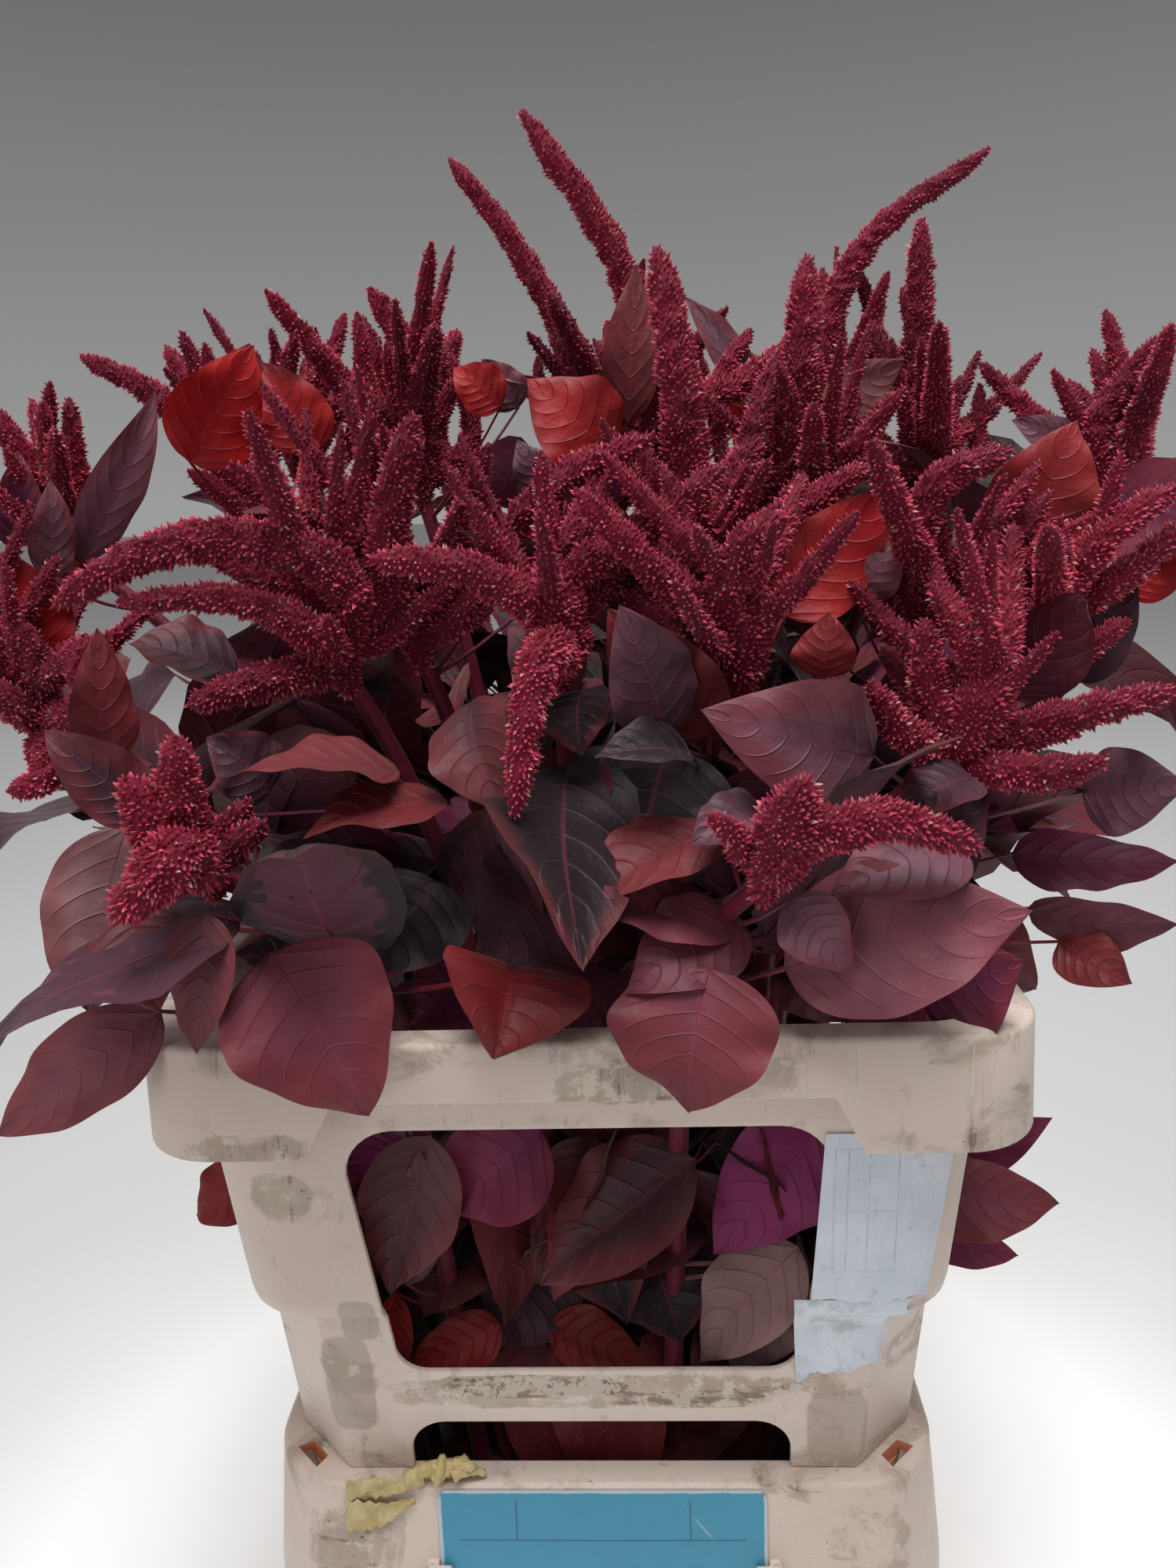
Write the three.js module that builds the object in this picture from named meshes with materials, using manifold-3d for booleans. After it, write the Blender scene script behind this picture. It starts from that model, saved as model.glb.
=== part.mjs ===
// Cut amaranth stems standing in a two-piece flower container: a bucket and the collar on its rim.
// Millimetres, +Z up, +X right, +Y away from the viewer, origin in the middle of the bucket's underside.
import * as THREE from 'three';
import Module from 'manifold-3d';

const wasm = await Module();
wasm.setup();

// Bucket
const BUCKET_H = 256;
const BUCKET_X = 144;
const BUCKET_Y = 199;
const BUCKET_R = 38;
const BAND_BOTTOM = 150;
const FLOOR_T = 3;
const WATER_TOP = 92;
// Collar
const TOP = 470;
const RIM_X = 168;
const RIM_Y = 223;
const RIM_R = 30;
const SKIRT_Z = 425;
const STEP_Z = 336;
const CHAMFER = 27;
const GAP = 0.3;
// Stems, flower spikes and leaves
const STEM_R = 4.6;
const STEM_TOP_R = 3.4;
const HUB = 9;
const CLEAR = 0.5;
const LEAF_T = 1.7;

// The eye of the photo. What it shows is placed as seen from here: px across, px down, and Y in mm.
const EYE = new THREE.Vector3(25, -605, 660);
const EYE_YAW = -2.7 * Math.PI / 180;
const EYE_PITCH = 14 * Math.PI / 180;
const EYE_ROLL = -2.2 * Math.PI / 180;
const EYE_F = 1500;

const V = (x, y, z) => new THREE.Vector3(x, y, z);
const UP = V(0, 0, 1);

const eyeAhead = V(
  Math.sin(EYE_YAW) * Math.cos(EYE_PITCH),
  Math.cos(EYE_YAW) * Math.cos(EYE_PITCH),
  -Math.sin(EYE_PITCH),
);
const levelRight = V(Math.cos(EYE_YAW), -Math.sin(EYE_YAW), 0);
const levelUp = levelRight.clone().cross(eyeAhead);
const eyeRight = levelRight.clone().multiplyScalar(Math.cos(EYE_ROLL))
  .addScaledVector(levelUp, Math.sin(EYE_ROLL));
const eyeUp = levelUp.clone().multiplyScalar(Math.cos(EYE_ROLL))
  .addScaledVector(levelRight, -Math.sin(EYE_ROLL));

function seen([px, py, y]) {
  const ray = eyeAhead.clone()
    .addScaledVector(eyeRight, (px - 750) / EYE_F)
    .addScaledVector(eyeUp, (1000 - py) / EYE_F);
  return EYE.clone().addScaledVector(ray, (y - EYE.y) / ray.y);
}

function randomFrom(seed) {
  let a = seed >>> 0;
  return () => {
    a = (a + 0x6d2b79f5) >>> 0;
    let t = Math.imul(a ^ (a >>> 15), a | 1);
    t = (t + Math.imul(t ^ (t >>> 7), t | 61)) ^ t;
    return ((t ^ (t >>> 14)) >>> 0) / 4294967296;
  };
}

// Closed solids

function solid(points, faces) {
  let volume = 0;
  for (const [a, b, c] of faces) {
    volume += points[a].dot(points[b].clone().cross(points[c]));
  }
  const turned = volume < 0;
  const vertProperties = new Float32Array(points.length * 3);
  points.forEach((p, i) => vertProperties.set([p.x, p.y, p.z], 3 * i));
  const triVerts = new Uint32Array(faces.length * 3);
  faces.forEach(([a, b, c], i) => triVerts.set(turned ? [a, c, b] : [a, b, c], 3 * i));
  return new wasm.Manifold(new wasm.Mesh({ numProp: 3, vertProperties, triVerts }));
}

// Rings of points joined up: 'caps' closes both ends, 'loop' joins the last ring to the first,
// and a point closes the last ring to a tip. Mirrored rings are split alike on both sides, so that the two
// faces of a thin blade bend the same way.
function loft(rings, end, mirrored = false) {
  const n = rings[0].length;
  const points = rings.flat();
  const faces = [];
  const joins = end === 'loop' ? rings.length : rings.length - 1;
  for (let i = 0; i < joins; i++) {
    const a = i * n;
    const b = ((i + 1) % rings.length) * n;
    for (let j = 0; j < n; j++) {
      const k = (j + 1) % n;
      if (mirrored && j >= n / 2) {
        faces.push([a + j, a + k, b + k], [a + j, b + k, b + j]);
      } else {
        faces.push([a + j, a + k, b + j], [b + j, a + k, b + k]);
      }
    }
  }
  const last = (rings.length - 1) * n;
  for (let j = 1; j < n - 1 && end !== 'loop'; j++) {
    faces.push([0, j + 1, j]);
    if (end === 'caps') {
      faces.push([last, last + j, last + j + 1]);
    }
  }
  if (end.isVector3) {
    points.push(end);
    for (let j = 0; j < n; j++) {
      faces.push([last + j, last + (j + 1) % n, points.length - 1]);
    }
  }
  return solid(points, faces);
}

// A rectangle with round or cut corners, seen from above.
function plan(halfX, halfY, corner, z, cut = false) {
  const ring = [];
  for (let q = 0; q < 4; q++) {
    const sx = q === 0 || q === 3 ? 1 : -1;
    const sy = q < 2 ? 1 : -1;
    for (let i = 0; i <= 3; i++) {
      const a = (q + i / 3) * Math.PI / 2;
      const f = cut ? 1 / (Math.abs(Math.cos(a)) + Math.abs(Math.sin(a))) : 1;
      const x = sx * (halfX - corner) + corner * f * Math.cos(a);
      const y = sy * (halfY - corner) + corner * f * Math.sin(a);
      ring.push(V(x, y, z));
    }
  }
  return ring;
}

function prism(outline, depth, place) {
  const shape = new THREE.Shape(outline.map(([x, y]) => new THREE.Vector2(x, y)));
  const geometry = new THREE.ExtrudeGeometry(shape, { depth, bevelEnabled: false });
  geometry.applyMatrix4(place);
  const at = geometry.getAttribute('position');
  const points = [];
  const faces = [];
  const known = new Map();
  for (let i = 0; i < at.count; i += 3) {
    faces.push([0, 1, 2].map((k) => {
      const p = V(at.getX(i + k), at.getY(i + k), at.getZ(i + k));
      const key = [p.x, p.y, p.z].map((c) => Math.round(c * 1e4)).join(' ');
      if (!known.has(key)) {
        known.set(key, points.push(p) - 1);
      }
      return known.get(key);
    }));
  }
  return solid(points, faces);
}

// An outline (across, up) cut through the wall that faces the turn, between two distances from the middle.
function wallCutter(outline, near, far, turn) {
  const place = new THREE.Matrix4().makeRotationZ(turn)
    .multiply(new THREE.Matrix4().makeTranslation(0, -near, 0))
    .multiply(new THREE.Matrix4().makeRotationX(Math.PI / 2));
  return prism(outline, far - near, place);
}

function roundedOutline(bottomHalf, topHalf, z0, z1, r) {
  const outline = [];
  const corners = [[bottomHalf, z0, -90], [topHalf, z1, 0], [-topHalf, z1, 90], [-bottomHalf, z0, 180]];
  for (const [x, z, start] of corners) {
    const cx = x - Math.sign(x) * r;
    const cz = z === z0 ? z + r : z - r;
    for (let i = 0; i <= 2; i++) {
      const a = (start + 45 * i) * Math.PI / 180;
      outline.push([cx + r * Math.cos(a), cz + r * Math.sin(a)]);
    }
  }
  return outline;
}

// The container

// How far the collar's wall lies inside its rim's outline, and its corner, by height.
const WALL = [[466, 10, 34], [452, 12.5, 31], [430, 15, 29], [345, 22, 28], [338, 24.5, 27]];
const FOOT = [[STEP_Z, 27, CHAMFER], [BUCKET_H + GAP, 33, CHAMFER]];

function collarSolid() {
  const ring = (z, inset, r, cut) => plan(RIM_X - inset, RIM_Y - inset, r, z, cut);
  const rings = [
    ring(TOP, 13, 31),
    ring(TOP, 1.5, RIM_R - 1.5),
    ring(TOP - 1.5, 0, RIM_R),
    ring(SKIRT_Z, -1.5, RIM_R + 1.5),
    ring(SKIRT_Z, 1.5, RIM_R - 1.5),
    ring(TOP - 3.5, 3, RIM_R - 3),
    ...WALL.map(([z, inset, r]) => ring(z, inset, r)),
    ...FOOT.map(([z, inset, r]) => ring(z, inset, r, true)),
    ring(BUCKET_H + GAP, 36, CHAMFER - 1.5, true),
    ring(STEP_Z - 1, 30, CHAMFER - 1.5, true),
    ring(343, 25.5, 26),
    ring(430, 18, 26),
    ring(453, 15.5, 28),
  ];
  let body = loft(rings, 'loop');
  const outlines = {
    front: [[-102, 420], [102, 420], [102, 425], [91, 447], [-91, 447], [-102, 425]],
    side: [[-152, 420], [152, 420], [152, 425], [141, 447], [-141, 447], [-152, 425]],
  };
  for (const turn of [0, Math.PI]) {
    body = body.subtract(wallCutter(outlines.front, RIM_Y - 6, RIM_Y + 6, turn));
    body = body.subtract(wallCutter(outlines.side, RIM_X - 6, RIM_X + 6, turn + Math.PI / 2));
    const window = roundedOutline(83, 93, 308, 427, 14);
    body = body.subtract(wallCutter(window, RIM_Y - 45, RIM_Y - 8, turn));
    const longWindow = roundedOutline(136, 146, 308, 427, 14);
    body = body.subtract(wallCutter(longWindow, RIM_X - 45, RIM_X - 8, turn + Math.PI / 2));
    const foot = roundedOutline(80, 80, 236, 281, 11);
    body = body.subtract(wallCutter(foot, RIM_Y - 45, RIM_Y - 20, turn));
    const longFoot = roundedOutline(132, 132, 236, 281, 11);
    body = body.subtract(wallCutter(longFoot, RIM_X - 45, RIM_X - 20, turn + Math.PI / 2));
  }
  return body;
}

// Half sizes of the bucket's outer band by height.
const bandInset = (z) => (z > 196 ? -6 * (BUCKET_H - z) / 60 : -6 - 2 * (196 - z) / 46);

function bucketSolid() {
  const ring = (z, inset, r, cut) => plan(BUCKET_X - inset, BUCKET_Y - inset, r, z, cut);
  const rings = [
    ring(0, 30, 24),
    ring(4, 26, 28),
    ring(BUCKET_H - 20, 12, 31),
    ring(BUCKET_H - 5, 10, 32),
    ring(BUCKET_H - 4, 3, BUCKET_R - 3),
    ring(196, -3, BUCKET_R + 3),
    ring(BAND_BOTTOM, -5, BUCKET_R + 5),
    ring(BAND_BOTTOM, -8, BUCKET_R + 8),
    ring(196, -6, BUCKET_R + 6),
    ring(BUCKET_H - 1.5, 0, BUCKET_R),
    ring(BUCKET_H, 1.5, BUCKET_R - 1.5),
    ring(BUCKET_H, 13, 26, true),
    ring(BUCKET_H - 6, 14, 28),
    ring(BUCKET_H - 20, 15, 28),
    ring(7, 29, 25),
    ring(FLOOR_T, 33, 21),
  ];
  let body = loft(rings, 'caps');
  for (const sx of [-1, 1]) {
    for (const sy of [-1, 1]) {
      const place = new THREE.Matrix4().makeTranslation(sx * 126.5, sy * 181.5, BUCKET_H - 8)
        .multiply(new THREE.Matrix4().makeRotationZ(-sx * sy * Math.PI / 4));
      body = body.subtract(prism([[-8, -3], [8, -3], [6, 4], [-6, 4]], 12, place));
    }
  }
  // Lugs that hold the card at its sides
  for (const z of [214, 160]) {
    for (const side of [-1, 1]) {
      const y = -(BUCKET_Y - bandInset(z + 4));
      const slope = new THREE.Matrix4().makeTranslation(0, y, z)
        .multiply(new THREE.Matrix4().makeRotationX(-bandTilt(z)))
        .multiply(new THREE.Matrix4().makeRotationX(Math.PI / 2));
      const block = (x0, x1, depth0, depth1) => prism(
        [[side * x0, 0], [side * x1, 0], [side * x1, 8], [side * x0, 8]],
        depth1 - depth0,
        slope.clone().multiply(new THREE.Matrix4().makeTranslation(0, 0, depth0)),
      );
      body = body.add(block(69.6, 75, -1.5, 3.2)).add(block(64, 75, 1.6, 3.2));
    }
  }
  return body;
}

function bandTilt(z) {
  return Math.atan2(bandInset(z) - bandInset(z + 8), 8);
}

function waterSolid(stems) {
  const inset = (z) => 15 + 14 * (BUCKET_H - 20 - z) / (BUCKET_H - 27) + 0.4;
  const ring = (z, corner) => plan(BUCKET_X - inset(z), BUCKET_Y - inset(z), corner, z);
  let body = loft([
    plan(BUCKET_X - 33.6, BUCKET_Y - 33.6, 21, FLOOR_T + GAP),
    ring(7.6, 25),
    ring(WATER_TOP, 26),
  ], 'caps');
  for (const { path: [foot, way] } of stems) {
    const along = way.clone().sub(foot).normalize();
    const hole = [-8, WATER_TOP + 8].map((z) => {
      const middle = foot.clone().addScaledVector(along, (z - foot.z) / along.z);
      return circle(middle, UP, STEM_R + 2.4, 4, 0);
    });
    body = body.subtract(loft(hole, 'caps'));
  }
  return body;
}

// A point on the collar's or the bucket's outside: s runs round from the middle of the front.
function outside(s, halfX, halfY, corner, z, cut) {
  const flat = halfX - corner;
  if (s <= flat) {
    return [V(s, -halfY, z), V(0, -1, 0)];
  }
  if (cut) {
    const d = (s - flat) / Math.SQRT2;
    return [V(flat + d, -halfY + d, z), V(Math.SQRT1_2, -Math.SQRT1_2, 0)];
  }
  const a = (s - flat) / corner;
  const out = V(Math.sin(a), -Math.cos(a), 0);
  return [V(flat, -(halfY - corner), z).addScaledVector(out, corner), out];
}

function collarOutline(z) {
  const rows = z >= STEP_Z + 2 ? WALL : FOOT;
  let i = 0;
  while (i < rows.length - 2 && z < rows[i + 1][0]) {
    i++;
  }
  const f = (rows[i][0] - z) / (rows[i][0] - rows[i + 1][0]);
  const inset = rows[i][1] + f * (rows[i + 1][1] - rows[i][1]);
  const corner = rows[i][2] + f * (rows[i + 1][2] - rows[i][2]);
  return { halfX: RIM_X - inset, halfY: RIM_Y - inset, corner, cut: rows === FOOT };
}

function collarSkin(s, z) {
  const { halfX, halfY, corner, cut } = collarOutline(z);
  return outside(s, halfX, halfY, corner, z, cut);
}

// How far round the collar's front the corner has turned by so many degrees.
function turnAt(z, degrees) {
  const { halfX, corner } = collarOutline(z);
  return halfX - corner + corner * degrees * Math.PI / 180;
}

// A thin sheet lying on a skin, from rows of (s, z), each row as long as the next.
function sheet(rows, skin, lift, thickness) {
  const n = rows[0].length;
  const low = [];
  const high = [];
  for (const row of rows) {
    for (const [s, z] of row) {
      const side = Math.sign(s) || 1;
      const [p, out] = skin(Math.abs(s), z);
      p.x *= side;
      out.x *= side;
      low.push(p.clone().addScaledVector(out, lift));
      high.push(p.clone().addScaledVector(out, lift + thickness));
    }
  }
  const count = low.length;
  const faces = [];
  const edge = [];
  for (let i = 0; i < rows.length - 1; i++) {
    for (let j = 0; j < n - 1; j++) {
      const a = i * n + j;
      const b = a + n;
      faces.push([a, b, a + 1], [a + 1, b, b + 1]);
      faces.push([a + count, a + 1 + count, b + count], [a + 1 + count, b + 1 + count, b + count]);
    }
  }
  for (let j = 0; j < n - 1; j++) edge.push(j);
  for (let i = 0; i < rows.length - 1; i++) edge.push(i * n + n - 1);
  for (let j = n - 1; j > 0; j--) edge.push((rows.length - 1) * n + j);
  for (let i = rows.length - 1; i > 0; i--) edge.push(i * n);
  edge.forEach((a, i) => {
    const b = edge[(i + 1) % edge.length];
    faces.push([a, b, a + count], [b, b + count, a + count]);
  });
  return solid([...low, ...high], faces);
}

function cardSolid() {
  const skin = (s, z) => outside(s, BUCKET_X - bandInset(z), BUCKET_Y - bandInset(z), BUCKET_R, z, false);
  const rows = [254, 196, 153].map((z) => [-69, 69].map((s) => [s, z]));
  return sheet(rows, skin, GAP, 0.7);
}

function stickerSolid() {
  const rows = [424, 385, 348].map((z, i) => (
    [90 - 2 * i, 106 - 2 * i, turnAt(z, 0), turnAt(z, 30), turnAt(z, 48 - 3 * i)].map((s) => [s, z])
  ));
  return sheet(rows, collarSkin, GAP, 0.6);
}

function oldStickerSolid() {
  const rows = [
    [[81, 333], [98, 333], [turnAt(333, 0), 333], [126, 333]],
    [[81, 318], [98, 317], [turnAt(319, 0), 319], [121, 324]],
    [[82, 302], [98, 301], [turnAt(307, 0), 307], [117, 316]],
  ];
  return sheet(rows, collarSkin, GAP, 0.6);
}

// A knotted scrap of yellowed tape over the bucket's rim
function tapeSolid() {
  const y = -BUCKET_Y;
  const z = BUCKET_H;
  const band = (x, out, top, bottom, drift = 0) => [
    V(x, y - out - 1.2, z + top),
    V(x, y - out, z + top),
    V(x + drift, y - out - 0.9, z + bottom),
    V(x + drift, y - out - 2.1, z + bottom),
  ];
  let body = loft([
    band(-106, 1, 0, -8),
    band(-79, 0.7, 3, -5),
    band(-73, 0.5, 5, 1),
    [V(-70, y - 1, z + 7), V(-70, y + 3, z + 7), V(-70, y + 3, z + 1.5), V(-70, y - 1, z + 1.2)],
  ], 'caps');
  body = body.add(loft([band(-107, 1.2, -6, -22, 1), band(-79, 0.8, -3, -7)], 'caps'));
  for (const [x, ry, rz, long] of [[-69, 4, 4.6, 6], [-60, 4.4, 5, 6.5]]) {
    const rings = [-0.9, 0, 0.9].map((h) => circle(V(0, 0, 0), V(1, 0, 0), Math.sqrt(1 - h * h), 6, h)
      .map((p) => V(x + long * h, y + 4.4 + ry * p.y, z + 0.8 + rz + rz * p.z)));
    body = body.add(loft(rings, 'caps'));
  }
  return body;
}

// Plants

function across(along) {
  const u = (Math.abs(along.z) < 0.9 ? UP.clone() : V(1, 0, 0)).cross(along).normalize();
  return [u, along.clone().cross(u).normalize()];
}

function circle(middle, along, radius, sides, turn) {
  const [u, w] = across(along);
  const ring = [];
  for (let j = 0; j < sides; j++) {
    const a = turn + j * 2 * Math.PI / sides;
    ring.push(middle.clone().addScaledVector(u, radius * Math.cos(a)).addScaledVector(w, radius * Math.sin(a)));
  }
  return ring;
}

// A tube through the points; each ring is turned a little further than the last.
function tube(points, radii, sides, twist, tip) {
  let u = null;
  const rings = points.map((p, i) => {
    const next = points[i + 1] ?? tip ?? p;
    const along = next.clone().sub(points[i - 1] ?? p).normalize();
    u = u ? u.addScaledVector(along, -u.dot(along)).normalize() : across(along)[0];
    const w = along.clone().cross(u);
    const ring = [];
    for (let j = 0; j < sides; j++) {
      const a = twist * i + j * 2 * Math.PI / sides;
      ring.push(p.clone().addScaledVector(u, radii[i] * Math.cos(a)).addScaledVector(w, radii[i] * Math.sin(a)));
    }
    return ring;
  });
  return loft(rings, tip ?? 'caps');
}

// Each head: where it starts, then its spikes, each with its thickness and the points it passes.
// Points are px, px, Y as seen in the photo.
const SEEN_HEADS = [
  { at: [290, 1125, -218], more: 0, spikes: [
    [9.5, [235, 1030, -232], [222, 940, -238]],
    [11.5, [225, 1095, -245], [148, 1172, -255]],
    [6.5, [312, 1070, -232], [333, 1048, -236]],
  ] },
  { at: [715, 880, -165], more: 1, spikes: [
    [9.2, [705, 830, -190], [680, 870, -212], [657, 1040, -222]],
    [8.8, [722, 800, -172], [600, 730, -186], [472, 712, -196]],
  ] },
  { at: [962, 1135, -218], more: 0, spikes: [
    [9.8, [1010, 1075, -232], [1130, 1048, -238], [1250, 1082, -236]],
    [6.5, [940, 1070, -230], [905, 1040, -236]],
  ] },
  { at: [1190, 985, -165], more: 1, spikes: [
    [8, [1150, 930, -180], [1110, 870, -185]],
    [8.5, [1185, 880, -170], [1180, 790, -172]],
    [8, [1240, 880, -165], [1255, 770, -165]],
    [8.5, [1300, 935, -170], [1400, 905, -176], [1500, 880, -176]],
    [8, [1280, 985, -180], [1345, 985, -190], [1412, 968, -196]],
  ] },
  { at: [455, 880, -150], more: 2, spikes: [
    [9.6, [440, 745, -165], [330, 692, -178], [190, 705, -186], [70, 772, -190]],
    [8, [400, 810, -175], [300, 765, -186], [150, 768, -190]],
    [8, [380, 860, -172], [300, 880, -190], [240, 900, -198]],
  ] },
  { at: [545, 850, -125], more: 3, spikes: [
    [9.6, [500, 760, -155], [500, 650, -172], [528, 530, -178]],
    [8.8, [610, 755, -140], [700, 625, -150], [835, 556, -150]],
    [8, [560, 740, -130], [600, 660, -130]],
  ] },
  { at: [885, 835, -105], more: 3, spikes: [
    [10.8, [882, 700, -112], [868, 500, -118], [838, 318, -112]],
    [8, [830, 780, -130], [760, 700, -140]],
    [7.5, [930, 740, -110], [950, 640, -105]],
  ] },
  { at: [925, 905, -160], more: 2, spikes: [
    [9.6, [922, 800, -170], [945, 705, -180], [1000, 660, -186]],
    [7, [880, 850, -170], [850, 790, -175]],
  ] },
  { at: [1012, 740, -65], more: 3, spikes: [
    [10.8, [1008, 640, -72], [1022, 480, -78], [1030, 330, -74]],
    [7.5, [980, 640, -70], [965, 560, -66]],
    [7.5, [1060, 660, -60], [1090, 590, -55]],
  ] },
  { at: [1150, 850, -115], more: 3, spikes: [
    [9.4, [1158, 720, -125], [1200, 615, -132], [1290, 576, -132]],
    [8, [1120, 770, -125], [1105, 690, -120]],
  ] },
  { at: [1285, 880, -95], more: 3, spikes: [
    [9.6, [1330, 790, -102], [1410, 685, -108], [1500, 622, -108]],
    [8, [1290, 800, -95], [1300, 720, -90]],
    [8, [1350, 850, -105], [1440, 790, -110]],
  ] },
  { at: [850, 620, -10], more: 3, spikes: [
    [9.6, [838, 540, -20], [795, 345, -36], [665, 143, -40]],
    [7.5, [800, 560, 0], [780, 500, 5]],
    [7.5, [900, 560, -10], [912, 500, -8]],
  ] },
  { at: [780, 610, 80], more: 3, spikes: [
    [8.8, [742, 470, 80], [655, 310, 80], [573, 203, 78]],
    [7, [700, 540, 90], [685, 455, 95]],
  ] },
  { at: [1045, 590, 80], more: 3, spikes: [
    [8.8, [1052, 430, 80], [1115, 300, 80], [1262, 190, 76]],
    [7.5, [1120, 480, 90], [1098, 345, 92]],
    [7, [990, 520, 85], [985, 450, 88]],
  ] },
  { at: [1165, 650, 10], more: 2, spikes: [
    [9.4, [1165, 520, 12], [1172, 400, 12], [1175, 280, 10]],
    [7, [1205, 590, 20], [1216, 500, 24]],
    [7, [1240, 600, 15], [1250, 490, 18]],
  ] },
  { at: [545, 650, 0], more: 3, spikes: [
    [9, [540, 530, 0], [515, 440, 0], [472, 368, 0]],
    [7.8, [480, 560, -8], [455, 398, -10]],
    [7, [600, 560, 10], [575, 450, 14]],
  ] },
  { at: [410, 640, 80], more: 2, spikes: [
    [7.8, [405, 520, 84], [440, 400, 88]],
    [7.8, [360, 540, 80], [318, 440, 78]],
    [7, [450, 560, 85], [485, 430, 90]],
  ] },
  { at: [345, 690, -20], more: 2, spikes: [
    [8.2, [270, 570, -22], [190, 500, -24], [103, 455, -24]],
    [7.5, [300, 640, -30], [240, 600, -34]],
  ] },
  { at: [120, 725, -40], more: 2, spikes: [
    [7.6, [98, 610, -42], [88, 508, -42]],
    [8.4, [55, 620, -50], [-8, 520, -54]],
    [8, [60, 790, -70], [0, 770, -80]],
  ] },
  { at: [75, 930, -120], more: 1, spikes: [
    [8, [50, 850, -130], [20, 790, -135]],
    [8, [20, 900, -135], [-30, 860, -140]],
    [8, [60, 990, -140], [10, 1010, -150]],
    [8, [110, 900, -130], [90, 830, -132]],
  ] },
  { at: [1385, 650, -10], more: 2, spikes: [
    [7.8, [1400, 540, -14], [1475, 430, -16]],
    [7.6, [1445, 650, -20], [1442, 555, -22]],
  ] },
];
// Heads behind, which the photo hides, in mm
const BACK_HEADS = [[-165, 165, 555], [-80, 215, 570], [5, 170, 620], [90, 215, 575], [170, 160, 560]];

// Leaves the photo shows: blade's base, tip, width, turn about its length, bow and fold, all seen as above
const SEEN_LEAVES = [
  [[345, 1215, -227], [471, 1424, -238], 60, 0, 8, 0.05],
  [[905, 1235, -226], [878, 1420, -237], 58, 10, 7, 0.08],
  [[655, 1235, -205], [630, 1352, -240], 54, 0, 6, 0.5],
  [[1000, 1235, -220], [1318, 1162, -228], 52, -10, 8, 0.1],
  [[1115, 965, -188], [893, 905, -212], 45, 0, 8, 0.1],
  [[850, 935, -190], [790, 770, -200], 34, 15, 4, 0.15],
  [[1000, 785, -140], [1145, 617, -132], 38, 0, -4, 0.1],
  [[160, 1055, -238], [112, 1292, -246], 42, 0, 7, 0.1],
  [[195, 1040, -232], [55, 930, -242], 26, 0, 4, 0.1],
  [[265, 1165, -238], [250, 1345, -246], 24, 20, 4, 0.15],
  [[205, 1290, -215], [-5, 1450, -225], 34, 0, 8, 0.1],
  [[260, 600, 20], [318, 437, 20], 46, 0, 4, 0.1],
  [[390, 560, 60], [345, 455, 60], 30, 0, 4, 0.1],
  [[800, 540, -60], [812, 335, -60], 25, 0, 4, 0.1],
  [[965, 520, 20], [870, 375, 20], 22, 30, 4, 0.3],
  [[1055, 520, -10], [1155, 458, -10], 26, 0, -6, 0.1],
  [[760, 570, 30], [668, 478, 30], 28, 0, 4, 0.1],
  [[1000, 560, 30], [915, 522, 30], 18, 0, 3, 0.1],
  [[105, 715, -70], [200, 497, -70], 25, 20, 4, 0.2],
  [[65, 740, -80], [65, 610, -80], 20, 0, 4, 0.1],
  [[20, 700, -60], [25, 575, -60], 22, 0, 4, 0.1],
  [[1300, 715, -60], [1375, 535, -60], 48, 0, 4, 0.1],
  [[1370, 565, -20], [1290, 535, -20], 18, 0, 3, 0.1],
  [[1050, 865, -160], [1058, 780, -160], 24, 0, 3, 0.1],
  [[510, 985, -190], [305, 985, -212], 34, 60, 4, 0.2],
  [[570, 1020, -190], [385, 1070, -215], 30, 55, 4, 0.2],
  [[930, 1185, -200], [735, 1165, -225], 32, 45, 4, 0.3],
  [[640, 720, -120], [605, 630, -120], 20, 0, 3, 0.1],
  [[700, 640, -60], [660, 560, -60], 22, 0, 3, 0.1],
  [[700, 745, -110], [762, 640, -115], 24, 0, 3, 0.1],
  [[1370, 870, -100], [1450, 735, -100], 26, 0, 3, 0.1],
  [[1440, 760, -80], [1520, 700, -80], 22, 0, 3, 0.1],
  [[1380, 1010, -150], [1515, 1000, -170], 34, 0, 5, 0.1],
  [[1160, 1140, -180], [1262, 1005, -180], 30, 0, 4, 0.1],
  [[1290, 1090, -170], [1505, 1100, -190], 30, 30, 5, 0.1],
  [[1310, 1160, -190], [1505, 1180, -205], 24, 40, 5, 0.1],
  [[1350, 1200, -195], [1445, 1255, -212], 22, 0, 4, 0.1],
  [[1165, 1530, -115], [1352, 1535, -120], 38, 0, 5, 0.1],
  [[1170, 1570, -90], [1300, 1602, -95], 24, 0, 4, 0.1],
  [[1190, 1490, -70], [1343, 1425, -80], 28, 0, 4, 0.1],
  [[330, 1500, -60], [250, 1550, -60], 34, 0, 4, 0.1],
  [[520, 1640, -178], [535, 1468, -182], 26, 0, -3, 0.1],
  [[660, 1445, -165], [585, 1545, -172], 34, 0, 3, 0.1],
  [[1040, 1440, -165], [910, 1600, -174], 46, 0, 3, 0.1],
  [[1000, 1600, -168], [935, 1752, -178], 42, 0, 3, 0.1],
  [[640, 1690, -165], [515, 1750, -175], 26, 0, 3, 0.1],
  [[700, 1690, -160], [830, 1742, -172], 26, 0, 3, 0.1],
  [[760, 1450, -150], [700, 1600, -160], 34, 0, 3, 0.1],
];

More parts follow.
